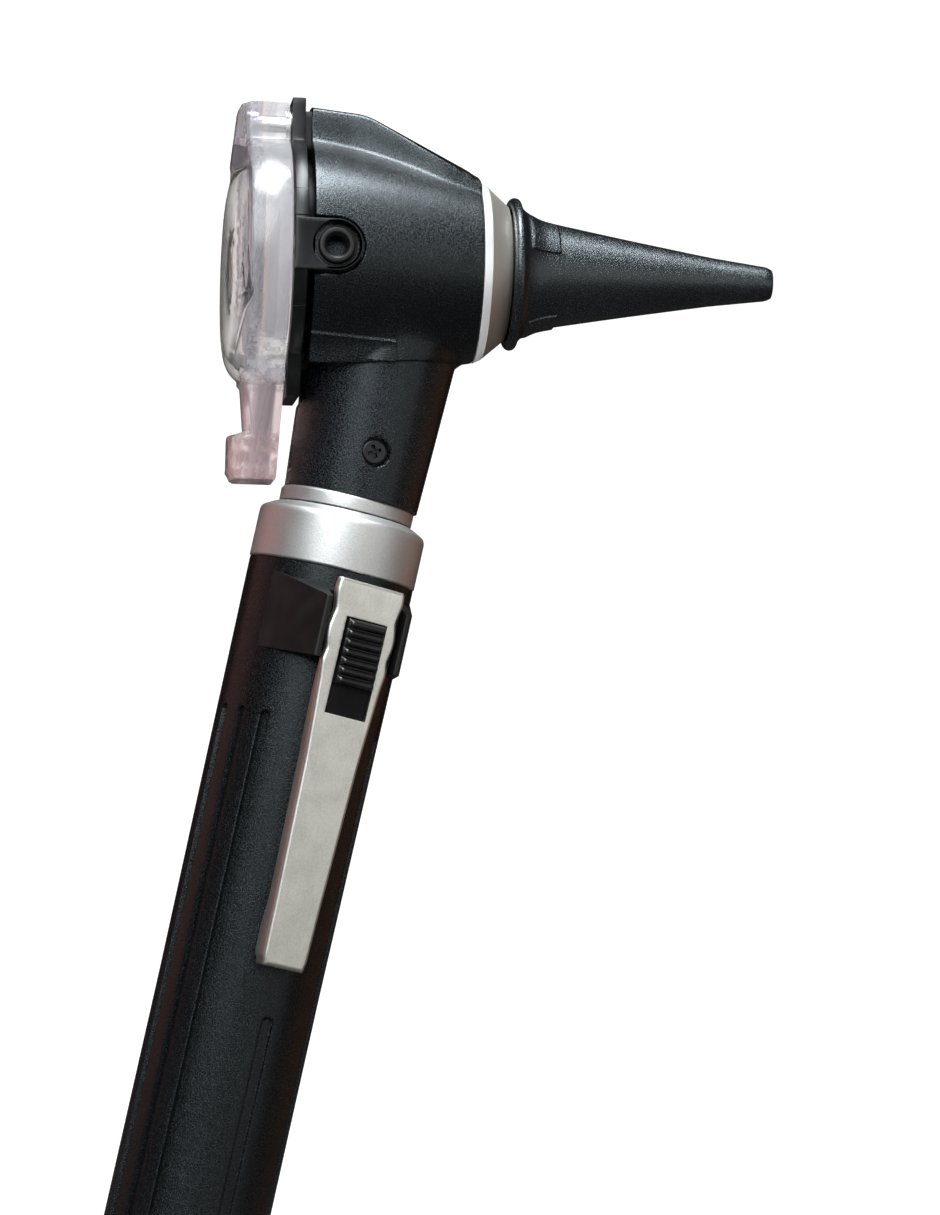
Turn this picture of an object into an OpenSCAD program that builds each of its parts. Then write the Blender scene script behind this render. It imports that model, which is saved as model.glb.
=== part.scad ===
// Pocket fibre-optic otoscope: two-cell handle, screw-on head, swing lens, cone speculum.
// Frame: origin at the centre of the handle's flat base, +Z up the handle, +X towards the speculum.

/* [Handle] */
// Length of the handle sleeve, base to collar
handle_len = 115.2; // [115:0.1:118]
// Outer diameter of the sleeve over its lower part
base_d = 19.0; // [18.8:0.1:19.4]
// Outer diameter of the sleeve at its top
top_d = 19.7; // [19.4:0.1:19.8]
// Angle of the clip and switch round the handle, from -Y towards +X
clip_angle = 21; // [0:1:40]
// Sideways lean of the clip, in degrees
clip_skew = 0.7; // [0:0.1:0.8]
// Depth of the grip flutes
flute_depth = 0.35; // [0.2:0.05:0.5]
// Angle between neighbouring grip flutes
flute_pitch = 20; // [16:1:22]
// Height of the top end of the grip flutes
flute_top = 97.5; // [90:0.5:99]
// Length of one dry cell, size AA, nub included
cell_len = 50.5; // [49.5:0.1:50.5]
// Diameter of one dry cell, size AA
cell_d = 14.2; // [13.8:0.1:14.3]

/* [Switch] */
// Travel of the switch slider
switch_travel = 3.0; // [2:0.1:3]
// Number of ribs on the slider
rib_count = 7; // [5:1:7]

/* [Collar and neck] */
// Outer diameter of the metal collar
collar_d = 19.9; // [19.8:0.1:20.4]
// Height of the collar above the sleeve
collar_h = 7.1; // [6.8:0.1:7.4]
// Diameter of the screw ring under the neck
ring_d = 16.0; // [15.9:0.1:16.6]
// Height of the screw ring
ring_h = 1.6; // [1.5:0.1:2]
// Radius of the head's screw thread, at mid depth
thread_r = 7.35; // [7.35:0.01:7.38]
// Diameter of the neck at its foot
neck_foot_d = 16.1; // [15.8:0.1:16.4]
// Diameter of the neck at its top
neck_top_d = 18.3; // [17.6:0.1:18.6]

/* [Head] */
// Height of the viewing axis over the base, where it crosses the handle's axis
axis_z = 152.5; // [152:0.5:153.5]
// Rise of the viewing axis towards the speculum, in degrees
axis_tilt = 11.3; // [10:0.1:12]
// Radius of the head shell at its rear end
shell_rear_r = 14.0; // [13.8:0.1:14.1]
// Radius of the head shell at its front end
shell_front_r = 10.8; // [10.6:0.1:11]
// Thickness of the shell wall
shell_wall = 1.5; // [1.2:0.1:1.7]
// Height of the eyepiece centre over the viewing axis
eye_v = 0.9; // [0.8:0.1:1.1]
// Radius of the window in the eyepiece frame
window_r = 9.8; // [9.4:0.1:10]
// Height of the lens pivot over the viewing axis
pivot_v = 16.6; // [16.4:0.1:16.8]
// Radius of the bore of the insufflation port
port_bore_r = 1.45; // [1.2:0.05:1.5]

/* [Speculum] */
// Length of the speculum, flange to tip
spec_len = 31.9; // [31.5:0.1:33]
// Diameter of the speculum's flange
spec_flange_d = 18.2; // [18:0.1:18.4]
// Outer diameter of the speculum's tip
spec_tip_d = 4.1; // [3.9:0.1:4.2]

/* [Hidden] */
$fn = 96;
soft_fn = 32;

// Handle levels
floor_t = 2.4;
tube_r = 7.45;
tube_wall = 0.6;
sleeve_bore_r = tube_r + tube_wall;
stem_r = sleeve_bore_r + 0.35;
stem_len = 8;
contact_t = 0.5;
taper_z = 66;
cell_foot = floor_t + contact_t + 7.2;
cell_mid = cell_foot + cell_len;
cell_top = cell_mid + cell_len;
nub_h = 1.2;
nub_r = 2.6;
flute_w = 1.0;
flute_end = 5;
flute_first = 50;

// Collar and neck levels
shoulder_z = handle_len + collar_h - 0.75;
collar_top = handle_len + collar_h;
seal_t = 0.36;
seal_gap = 0.02;
thread_gap = 0.06;
ring_z = collar_top + seal_t + 2 * seal_gap;
neck_z = ring_z + ring_h;
neck_h = 19.2;
spigot_r = 6.4;
spigot_h = 11;
holder_r = 5.2;
neck_screw_z = neck_z + 5.4;
neck_screw_turn = 9;

// Clip and switch, in a frame turned to the clip: x across, -y outwards
clip_face = 12.1;
clip_t = 0.55;
clip_top_z = 114.3;
clip_end_z = 68.8;
tab_face = 11.05;
tab_half = 2.2;
clip_edge = [
  [3.9, 114.3], [4.4, 113.6], [4.35, 112.4], [4.05, 110.4], [4.45, 108.2], [4.1, 105.9],
  [4.1, 102.5], [3.45, 93.5], [2.95, 76], [2.8, 69.5], [2.2, 68.8]
];
window_top = 110;
window_end = 98.6;
window_half = 2.65;
window_x = 0.2;
bracket_top = 113.1;
bracket_end = 103.6;
bracket_half = 5.5;
bracket_face = 12.35;
bracket_floor = 10.6;
slot_end = 104.2;
wiper_h = 2.4;
slot_h = wiper_h + switch_travel + 0.2;
slot_floor = 9.0;
slider_top = window_top - 0.15;
slider_h = window_top - window_end - switch_travel - 0.7;
slider_half = window_half - 0.25;
rib_pitch = 1.1;

// Head stations along the viewing axis
lens_front = -13.7;
rim_back = -18.4;
dome_back = -21.12;
dome_v = -1.35;
dome_r = 12.9;
frame_back = -13.55;
frame_front = -11.95;
groove_deep = 1.1;
shell_back = -11.2;
shell_front = 8.9;
seat_mid = 10.5;
seat_front = 12.15;
flange_back = 13.05;
spec_end = flange_back + spec_len;
nose_end = 29;
shell_drop = 12.4;
port_u = -8.65;
port_v = 0.65;
port_face = 13.9;
port_root = 9.5;
ear_r = 3.0;
ear_depth = 0.9;
ear_face = 14.1;
spine_top = 19.4;
spine_crest = 18.9;
spine_half = 4.5;
lens_r = 14.2;
hollow_r = 10.6;

// Places its children in the viewing frame: +X along the axis to the tip, +Z up
module viewing() {
  translate([0, 0, axis_z]) rotate([0, -axis_tilt, 0]) children();
}

// Revolves its 2-D children, drawn as (radius, station), about the viewing axis
module about_axis(lift = 0) {
  viewing() translate([0, 0, lift]) rotate([0, 90, 0]) rotate_extrude() children();
}

// Draws a 2-D outline across the viewing axis, as a plate from station a to b
module across(a, b) {
  viewing() translate([a, 0, 0]) rotate([90, 0, 90]) linear_extrude(b - a) children();
}

// Stands its children out of the near side of the head, at the port
module at_port() {
  viewing() translate([port_u, 0, port_v]) rotate([90, 0, 0]) children();
}

// Turns its children to the clip's side of the handle
module at_clip() {
  rotate([0, 0, clip_angle]) children();
}

module disc(r, z0, z1) {
  translate([0, 0, z0]) cylinder(r = r, h = z1 - z0);
}

module tube(r_out, r_in, z0, z1) {
  difference() {
    disc(r_out, z0, z1);
    disc(r_in, z0 - 1, z1 + 1);
  }
}

// A coil drawn as rings joined by short posts
module coil(r, wire, z0, z1, turns, shrink = 0) {
  lead = (z1 - z0 - 2 * wire) / turns;
  for (i = [0:turns]) translate([0, 0, z0 + wire + i * lead])
    rotate_extrude() translate([r - i * shrink, 0]) circle(r = wire, $fn = 16);
  for (i = [0:turns - 1]) rotate([0, 0, i * 137])
    translate([r - (i + 0.5) * shrink, 0, z0 + wire + i * lead])
      cylinder(r = wire * 0.8, h = lead, $fn = 16);
}

// ---------------------------------------------------------------- handle

module sleeve_blank() {
  rotate_extrude() polygon([
    [0, 0], [base_d / 2 - 1.6, 0], [base_d / 2 - 0.9, 0.2], [base_d / 2 - 0.35, 0.75],
    [base_d / 2, 1.8], [base_d / 2, taper_z], [top_d / 2, handle_len], [0, handle_len]
  ]);
}

// One straight channel down the sleeve, at an angle from the clip
module flute(angle, width, z0, z1) {
  floor_y = base_d / 2 - flute_depth;
  rotate([0, 0, clip_angle + angle]) translate([-width / 2, -floor_y - 5, z0])
    cube([width, 5, z1 - z0]);
}

module handle_sleeve() {
  color("#26282b") difference() {
    sleeve_blank();
    disc(sleeve_bore_r, floor_t, handle_len + 1);
    disc(stem_r, handle_len - stem_len, handle_len + 1);
    for (side = [-1, 1], i = [0:4]) flute(side * (flute_first + i * flute_pitch), flute_w, flute_end, flute_top);
    for (a = [0, 180]) flute(a, 1.4, flute_end, 63);
    at_clip() {
      translate([-1.6, -20, slot_end]) cube([3.2, 20 - slot_floor, slot_h]);
      translate([-1.25, -slot_floor - 1, slot_end]) cube([2.5, slot_floor, 0.6]);
    }
    rivet_hole();
  }
}

module battery_tube() {
  color("silver") difference() {
    disc(sleeve_bore_r, floor_t, handle_len - stem_len);
    disc(tube_r, floor_t + contact_t, handle_len);
  }
}

module battery_spring() {
  color("silver") coil(5.2, 0.45, floor_t + contact_t, cell_foot, 5, 0.3);
}

// A dry cell standing on z
module dry_cell(z) {
  color("#5c6f86") union() {
    disc(cell_d / 2, z + 0.3, z + cell_len - nub_h);
    disc(5.2, z, z + 1);
    disc(nub_r, z + 1, z + cell_len);
  }
}

module battery_lower() {
  dry_cell(cell_foot);
}

module battery_upper() {
  dry_cell(cell_mid);
}

module handle_collar() {
  color("#c9c9c4") difference() {
    rotate_extrude() polygon([
      [0, handle_len - stem_len], [stem_r, handle_len - stem_len], [stem_r, handle_len],
      [collar_d / 2 - 0.25, handle_len], [collar_d / 2, handle_len + 0.25],
      [collar_d / 2, shoulder_z - 0.2], [collar_d / 2 - 0.2, shoulder_z],
      [ring_d / 2 + 0.3, collar_top - 0.1], [ring_d / 2 + 0.2, collar_top], [0, collar_top]
    ]);
    disc(thread_r + thread_gap, handle_len - stem_len - 1, collar_top + 1);
  }
}

// ------------------------------------------------------- clip and switch

// Outline of the saddle: two walls that run off the handle as tangents
module saddle_2d() {
  r = top_d / 2;
  touch = atan2(bracket_half, bracket_face) + acos(r / norm([bracket_half, bracket_face]));
  polygon([
    [0, 0], [-r * sin(touch), -r * cos(touch)], [-bracket_half, -bracket_face],
    [bracket_half, -bracket_face], [r * sin(touch), -r * cos(touch)]
  ]);
}

module rivet_hole() {
  at_clip() translate([0, -9.2, 112.2]) rotate([90, 0, 0]) cylinder(r = 0.6, h = 3);
}

module clip_bracket() {
  color("#1d1e20") difference() {
    at_clip() translate([0, 0, bracket_end]) linear_extrude(bracket_top - bracket_end) saddle_2d();
    sleeve_blank();
    rivet_hole();
    at_clip() {
      // top bevelled down and outwards
      translate([-12, -9.6, bracket_top]) rotate([38, 0, 0]) translate([0, -12, 0]) cube([24, 12, 8]);
      // channel for the clip, the slider and its contact
      translate([-4.8, -20, bracket_end - 1]) cube([9.6, 20 - bracket_floor, 20]);
      translate([-1.6, -20, slot_end]) cube([3.2, 20, slot_h]);
    }
  }
}

module clip_rivet() {
  color("silver") at_clip() translate([0, -9.2, 112.2]) rotate([90, 0, 0]) {
    cylinder(r = 0.6, h = 2.15);
    translate([0, 0, 2.05]) cylinder(r = 1.0, h = 0.2);
  }
}

// Turns its children about the rivet by the clip's sideways lean
module leaning() {
  at_clip() translate([0, 0, 112.2]) rotate([0, clip_skew, 0]) translate([0, 0, -112.2]) children();
}

// The clip's outline seen square on, drawn in from its edge by inset
module clip_outline_2d(inset = 0) {
  n = len(clip_edge) - 1;
  polygon(concat(
    [for (p = clip_edge) [p[0] - inset, p[1]]],
    [for (i = [n:-1:0]) [inset - clip_edge[i][0], clip_edge[i][1]]]
  ));
}

// The clip's side view as (depth under the face, height): shallow at the switch, a foot below
module clip_side_2d() {
  polygon([
    [0, clip_top_z], [0, clip_end_z + 0.5], [0.5, clip_end_z], [2.1, clip_end_z],
    [2.5, clip_end_z + 0.6], [2.5, clip_end_z + 4.6], [1.9, clip_end_z + 7], [1.7, bracket_end],
    [0.9, bracket_end], [0.9, clip_top_z]
  ]);
}

module pocket_clip() {
  color("#c4c4b8") leaning() difference() {
    union() {
      intersection() {
        translate([0, 1, 0]) rotate([90, 0, 0]) linear_extrude(20) clip_outline_2d();
        translate([-8, -clip_face, 0]) rotate([90, 0, 90]) linear_extrude(16) clip_side_2d();
      }
      // root, folded in under the collar and down on to the saddle
      translate([-tab_half, -clip_face + 0.2, clip_top_z - 0.5]) cube([2 * tab_half, 1.25, 0.5]);
      translate([-tab_half, -tab_face, 111]) cube([2 * tab_half, 0.4, clip_top_z - 111]);
    }
    // hollow behind the face, between the folded sides
    intersection() {
      translate([0, 1, 0]) rotate([90, 0, 0]) linear_extrude(20) clip_outline_2d(clip_t);
      translate([-8, -clip_face + clip_t, clip_end_z + clip_t]) cube([16, 8, 110.8 - clip_end_z - clip_t]);
    }
    translate([-3.6, -clip_face + clip_t, 110]) cube([7.2, clip_face - clip_t - tab_face, 3.8]);
    translate([window_x - window_half, -clip_face - 1, window_end])
      cube([2 * window_half, 2, window_top - window_end]);
    translate([0, -9, 112.2]) rotate([90, 0, 0]) cylinder(r = 0.8, h = 2.4);
  }
}

module switch_slider() {
  color("#17181a") at_clip() translate([window_x, 0, 0]) {
    translate([-slider_half, -clip_face - 0.45, slider_top - slider_h]) cube([2 * slider_half, 1.6, slider_h]);
    for (i = [0:rib_count - 1]) translate([-slider_half, -clip_face - 0.4, slider_top - 0.55 - i * rib_pitch])
      rotate([0, 90, 0]) cylinder(r = 0.42, h = 2 * slider_half, $fn = 24);
    translate([-slider_half - 0.1, -clip_face + 0.75, window_end - 0.3])
      cube([2 * slider_half + 0.2, 0.55, slider_top - window_end + 0.3]);
    translate([-2.9, -clip_face + 0.75, slider_top - 5.2]) cube([5.8, 0.55, 5.2]);
  }
}

module switch_contact() {
  color("#b08d4a") at_clip() {
    translate([-1.1, -clip_face + 1.3, slot_end + slot_h - 0.1 - wiper_h]) cube([2.2, 0.3, wiper_h]);
    translate([-0.9, -clip_face + 1.6, slot_end + slot_h - 1.6]) cube([1.8, 0.8, 1.2]);
  }
}

module contact_strip() {
  color("#b08d4a") at_clip() {
    translate([-1.2, -slot_floor - 0.6, slot_end + 0.05]) cube([2.4, 0.55, 2.2]);
    translate([-1.2, -slot_floor - 0.1, slot_end + 0.05]) cube([2.4, slot_floor + 0.1 - sleeve_bore_r, 0.5]);
  }
}

// ---------------------------------------------------------- neck and lamp

// Turns its children to each of the two screws through the neck, pointing outwards
module at_neck_screws() {
  for (a = [0, 180]) rotate([0, 0, neck_screw_turn + a]) translate([0, 0, neck_screw_z])
    rotate([90, 0, 0]) children();
}

module seal_ring() {
  color("#141414") tube(ring_d / 2 - 0.15, thread_r + 0.1, collar_top + seal_gap, ring_z - seal_gap);
}

module screw_ring() {
  color("#c9c9c4") difference() {
    union() {
      rotate_extrude() polygon([
        [0, ring_z], [ring_d / 2, ring_z], [ring_d / 2, neck_z - 0.3],
        [ring_d / 2 - 0.3, neck_z], [0, neck_z]
      ]);
      disc(thread_r, handle_len - 1.6, ring_z);
      disc(spigot_r, neck_z, neck_z + spigot_h);
    }
    disc(holder_r, handle_len - 2, neck_z + spigot_h + 1);
    at_neck_screws() translate([0, 0, 4]) cylinder(r = 0.85, h = 4);
  }
}

module neck_cover() {
  color("#26282b") difference() {
    translate([0, 0, neck_z]) cylinder(d1 = neck_foot_d, d2 = neck_top_d, h = neck_h);
    disc(spigot_r, neck_z - 1, neck_z + spigot_h);
    disc(holder_r, neck_z + spigot_h - 1, neck_z + neck_h + 1);
    shell_outer();
    // seat for the tab of the eyepiece frame
    across(shell_back - 12, shell_back) translate([-20, -16.8]) square([40, 30]);
    at_neck_screws() {
      translate([0, 0, 4]) cylinder(r = 0.85, h = 6);
      translate([0, 0, 7.3]) cylinder(r = 1.6, h = 4);
    }
    // blind hole behind, for a pin spanner
    rotate([0, 0, -88]) translate([0, -7.2, neck_z + 2]) rotate([90, 0, 0]) cylinder(r = 0.5, h = 4);
  }
}

module neck_screws() {
  color("#3a3b3d") at_neck_screws() difference() {
    union() {
      translate([0, 0, 5.3]) cylinder(r = 0.85, h = 2.3);
      translate([0, 0, 7.3]) cylinder(r = 1.5, h = 0.85);
    }
    for (q = [0, 90]) rotate([0, 0, q]) translate([-0.2, -0.85, 7.7]) cube([0.4, 1.7, 1]);
  }
}

module lamp_holder() {
  color("#d8d2c2") difference() {
    disc(holder_r, handle_len - 1.4, neck_z + 8);
    disc(1.25, handle_len - 2, neck_z + 3.2);
    disc(2.5, handle_len + 2.2, neck_z + 3.2);
    disc(3.2, neck_z + 3.2, neck_z + 9);
  }
}

module contact_pin() {
  color("#b08d4a") union() {
    disc(1.2, cell_top, handle_len + 4);
    disc(2.4, handle_len + 2.3, handle_len + 3.1);
  }
}

module pin_spring() {
  color("silver") coil(1.9, 0.2, handle_len + 3.1, neck_z + 3.1, 5);
}

module lamp() {
  color("#e6e2d0") union() {
    disc(3.15, neck_z + 3.3, neck_z + 9.2);
    disc(1.6, neck_z + 3.1, neck_z + 3.4);
    disc(2.3, neck_z + 9.1, neck_z + 11.2);
    translate([0, 0, neck_z + 11.2]) sphere(r = 2.3, $fn = 48);
  }
}

// ------------------------------------------------------------------- head

// Cone of the shell, its axis dropping from the eyepiece's centre to the nose; inset draws it in
module shell_cone(inset, back, front, drop) {
  run = shell_front - shell_back;
  slope = (shell_rear_r - shell_front_r) / run;
  intersection() {
    viewing() translate([shell_back, 0, eye_v]) rotate([0, 90 + atan2(eye_v, run), 0])
      translate([0, 0, -2]) cylinder(r1 = shell_rear_r + 2 * slope - inset,
        r2 = shell_front_r - 2 * slope - inset, h = run + 4);
    across(back, front) translate([-20, -drop]) square([40, 60]);
  }
}

// Cross-section of the ridge over the shell, its crest at the origin
module ridge_2d() {
  polygon([
    [-spine_half, -7], [-spine_half, -1.2], [-spine_half + 1.2, 0],
    [spine_half - 1.2, 0], [spine_half, -1.2], [spine_half, -7]
  ]);
}

// Ridge over the shell that carries the lens pivot: nearly level behind, falling to the nose
module spine() {
  intersection() {
    union() {
      viewing() translate([shell_back, 0, spine_crest]) rotate([0, 5.7, 0]) translate([-1, 0, 0])
        rotate([90, 0, 90]) linear_extrude(8.7) ridge_2d();
      viewing() translate([-3.9, 0, 17.95]) rotate([0, 26.9, 0])
        rotate([90, 0, 90]) linear_extrude(15) ridge_2d();
    }
    across(shell_back, shell_front) square(60, center = true);
    viewing() linear_extrude(30) polygon([
      [shell_back - 1, -5], [-3, -4.6], [shell_front + 1, -3.3],
      [shell_front + 1, 3.3], [-3, 4.6], [shell_back - 1, 5]
    ]);
  }
}

module shell_outer() {
  shell_cone(0, shell_back, shell_front, shell_drop);
  spine();
  // chin over the neck, a little proud of the cone
  viewing() translate([0, 0, -shell_drop]) linear_extrude(3.2) polygon([
    [shell_back, -9.75], [-1.1, -7.4], [-1.1, 7.4], [shell_back, 9.75]
  ]);
}

// Side view of the eyepiece frame's ears, right through the head
module ear_block(grow, inner, outer) {
  difference() {
    at_port() {
      translate([0, 0, -outer]) cylinder(r = ear_r + grow, h = 2 * outer);
      translate([-8, -ear_r - grow, -outer]) cube([8, 2 * (ear_r + grow), 2 * outer]);
    }
    at_port() translate([-20, -20, -inner]) cube([40, 40, 2 * inner]);
  }
}

module head_shell() {
  color("#26282b") difference() {
    shell_outer();
    shell_cone(shell_wall, shell_back - 1, shell_front + 1, shell_drop - shell_wall);
    viewing() translate([shell_back - 1, 0, pivot_v]) rotate([0, 90, 0]) cylinder(r = 1.0, h = 8);
    disc(holder_r, neck_z + 8, axis_z - 4);
    ear_block(0.15, ear_face - ear_depth - 0.1, 20);
    at_port() cylinder(r = 2.4, h = 20);
  }
}

// Outline shared by the eyepiece frame and, above its tab, the swing lens
module frame_outline_2d() {
  translate([0, eye_v]) circle(r = lens_r);
  translate([-spine_half + 0.2, 0]) square([2 * spine_half - 0.4, spine_top]);
  polygon([[-8, -10], [-5.2, -16.1], [5.2, -16.1], [8, -10]]);
}

module eyepiece_frame() {
  color("#1d1e20") difference() {
    union() {
      across(frame_back, frame_front) frame_outline_2d();
      // locating rims inside the shell and behind its edge
      across(frame_front - 0.2, shell_back + 1.6) translate([0, eye_v]) circle(r = window_r + 1.1);
      across(frame_front - 0.2, shell_back) translate([0, eye_v]) circle(r = shell_rear_r - groove_deep);
      intersection() {
        ear_block(0, ear_face - ear_depth, ear_face);
        across(frame_front - 0.2, 0) square(60, center = true);
      }
    }
    viewing() translate([frame_back - 1, 0, eye_v]) rotate([0, 90, 0]) cylinder(r = window_r, h = 8);
    viewing() translate([frame_back - 1, 0, pivot_v]) rotate([0, 90, 0]) cylinder(r = 1.0, h = 8);
    at_port() cylinder(r = 2.75, h = 20);
  }
}

module insufflation_port() {
  color("#1d1e20") at_port() difference() {
    union() {
      translate([0, 0, port_root]) cylinder(r = 2.4, h = 13.1 - port_root);
      translate([0, 0, port_root]) cylinder(r = 2.1, h = port_face - port_root);
    }
    translate([0, 0, port_root - 1]) cylinder(r = port_bore_r, h = 6);
  }
}

module speculum_seat() {
  color("#cfcabf") difference() {
    about_axis() polygon([
      [0, shell_front - 1.5], [shell_front_r - shell_wall - 0.02, shell_front - 1.5],
      [shell_front_r - shell_wall - 0.02, shell_front], [shell_front_r, shell_front],
      [10.0, seat_mid], [8.35, seat_front], [0, seat_front]
    ]);
    about_axis() polygon([
      [0, shell_front - 2], [7.6, shell_front - 2], [7.6, seat_front + 1], [0, seat_front + 1]
    ]);
  }
}

// Inside wall of the nose, as (radius, station), drawn in from it by inset
function nose_wall(inset) = [
  [6.6 - inset, seat_front], [6.1 - inset, 14.7], [4.5 - inset, 18.6], [2.8 - inset, nose_end]
];

module nose_tube() {
  color("#1d1e20") difference() {
    about_axis() polygon([
      [0, shell_front - 1.5], [7.6, shell_front - 1.5], [7.6, seat_front], [7.25, seat_front],
      [6.85, 14.7], [5.2, 18.6], [3.4, nose_end], [0, nose_end]
    ]);
    about_axis() polygon(concat(
      [[0, shell_front - 2], [6.6, shell_front - 2]], nose_wall(0),
      [[2.8, nose_end + 1], [0, nose_end + 1]]
    ));
  }
}

// Fibre bundle from the lamp, spread to a thin sleeve inside the nose
module light_guide() {
  bend = [0.9, 0, -6.4];
  color("#dfe6ea") union() {
    difference() {
      about_axis() polygon(concat([[0, shell_front - 1.6], [6.6, shell_front - 1.6]], nose_wall(0), [[0, nose_end]]));
      about_axis() polygon(concat(
        [[0, shell_front - 2], [6.1, shell_front - 2]], nose_wall(0.45),
        [[2.35, nose_end + 1], [0, nose_end + 1]]
      ));
    }
    viewing() translate(bend) rotate([0, 90, 0]) cylinder(r = 1.1, h = shell_front - 1.55 - bend[0]);
    disc(1.1, neck_z + 13.7, axis_z - 7.4);
    viewing() hull() {
      translate(bend) sphere(r = 1.1, $fn = soft_fn);
      translate([-1, 0, -7.2]) sphere(r = 1.1, $fn = soft_fn);
    }
  }
}

// ------------------------------------------------------------------- lens

module lens_outline_2d() {
  translate([0, eye_v]) circle(r = lens_r);
  translate([-4.3, 0]) square([8.6, 17.6]);
  hull() for (s = [-1, 1]) translate([s * 3.1, spine_top - 1.8]) circle(r = 1.2);
  polygon([
    [-9.5, -8], [-5, -14.7], [-4, -15.1], [-4, -25.2], [-3.2, -25.9],
    [3.2, -25.9], [4, -25.2], [4, -15.1], [5, -14.7], [9.5, -8]
  ]);
}

// Side view of the swing lens as (station, height): boss, rim, thumb tab
module lens_side_2d() {
  polygon([
    [lens_front, 19.4], [-19.0, 18.8], [-19.8, 18.2], [-20.2, 14.2], [rim_back, 11.6],
    [rim_back, -14.2], [-18.72, -14.7], [-18.25, -20.5], [-20.1, -20.8], [-20.1, -25.2],
    [-19.3, -25.9], [-14.5, -25.9], [lens_front, -14.5]
  ]);
}

module swing_lens() {
  color("#e9e4e2", 0.4) difference() {
    union() {
      intersection() {
        across(-24, lens_front) lens_outline_2d();
        viewing() rotate([90, 0, 0]) linear_extrude(60, center = true) lens_side_2d();
      }
      // domed back of the magnifier, a little low in its rim
      about_axis(dome_v) polygon([
        [0, -17.5], [dome_r, -17.5], [dome_r, -18.6], [12.3, -19.6],
        [10.6, -20.55], [8, -20.97], [5, dome_back + 0.05], [0, dome_back]
      ]);
    }
    // hollow in front of the magnifier
    about_axis(eye_v) polygon([[0, -17.3], [8, -17.3], [hollow_r, -16.6], [hollow_r, -13], [0, -13]]);
    viewing() translate([-30, 0, pivot_v]) rotate([0, 90, 0]) {
      cylinder(r = 1.05, h = 40);
      cylinder(r = 1.9, h = 12.6);
      translate([0, 0, 15.7]) cylinder(r = 2.2, h = 2);
    }
  }
}

module spring_washer() {
  color("silver") viewing() translate([0, 0, pivot_v]) rotate([0, 90, 0]) tube(2.05, 1.02, -14.2, frame_back);
}

module pivot_screw() {
  color("silver") viewing() translate([0, 0, pivot_v]) rotate([0, 90, 0]) difference() {
    union() {
      translate([0, 0, -17.5]) cylinder(r = 1.0, h = 13);
      translate([0, 0, -18.3]) cylinder(r = 1.75, h = 0.85);
    }
    translate([-0.2, -2, -19]) cube([0.4, 4, 1.2]);
  }
}

module speculum() {
  rim_r = spec_flange_d / 2;
  tip_r = spec_tip_d / 2;
  color("#1c1e22") difference() {
    about_axis() polygon([
      [0, flange_back], [rim_r - 0.4, flange_back], [rim_r, flange_back + 0.45],
      [rim_r, flange_back + 1.05], [rim_r - 0.4, flange_back + 1.5], [7.85, flange_back + 1.6],
      [7.2, 15.4], [6.65, 16.6], [6.18, 18.5], [4.52, 27.9], [3.27, 35.4],
      [tip_r, spec_end - 0.6], [tip_r - 0.35, spec_end], [0, spec_end]
    ]);
    about_axis() polygon([
      [0, flange_back - 1], [7.5, flange_back - 1], [7.5, flange_back + 0.6], [7.05, 14.9], [5.45, 18.75],
      [3.95, 27.9], [2.7, 35.4], [1.5, spec_end - 1], [1.5, spec_end + 1], [0, spec_end + 1]
    ]);
  }
}

handle_sleeve();
battery_tube();
battery_spring();
battery_lower();
battery_upper();
handle_collar();
clip_bracket();
clip_rivet();
pocket_clip();
switch_slider();
switch_contact();
contact_strip();
seal_ring();
screw_ring();
neck_cover();
neck_screws();
lamp_holder();
contact_pin();
pin_spring();
lamp();
head_shell();
eyepiece_frame();
insufflation_port();
speculum_seat();
nose_tube();
light_guide();
swing_lens();
spring_washer();
pivot_screw();
speculum();
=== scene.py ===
import math

import bmesh
import bpy
import numpy as np
from mathutils import Matrix


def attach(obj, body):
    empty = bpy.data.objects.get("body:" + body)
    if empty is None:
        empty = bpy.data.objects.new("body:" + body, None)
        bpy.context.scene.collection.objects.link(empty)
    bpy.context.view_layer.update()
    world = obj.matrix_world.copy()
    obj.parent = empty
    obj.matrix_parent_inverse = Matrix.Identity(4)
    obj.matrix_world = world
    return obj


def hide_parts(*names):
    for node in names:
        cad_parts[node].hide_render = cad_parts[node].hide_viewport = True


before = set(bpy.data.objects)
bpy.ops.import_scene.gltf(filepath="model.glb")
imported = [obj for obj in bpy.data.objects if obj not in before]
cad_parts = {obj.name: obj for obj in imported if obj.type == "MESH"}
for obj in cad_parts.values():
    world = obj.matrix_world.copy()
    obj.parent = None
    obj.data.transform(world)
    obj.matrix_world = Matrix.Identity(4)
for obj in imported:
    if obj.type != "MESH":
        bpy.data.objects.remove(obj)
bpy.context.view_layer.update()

# ---------------------------------------------------------------- handle sleeve
# A tube moulded in black ABS with a spark-eroded grain. Five narrow flutes a side run down the grip. Two
# wider ones start lower, under the foot of the clip and opposite. Everything else is fixed to this body.


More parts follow.
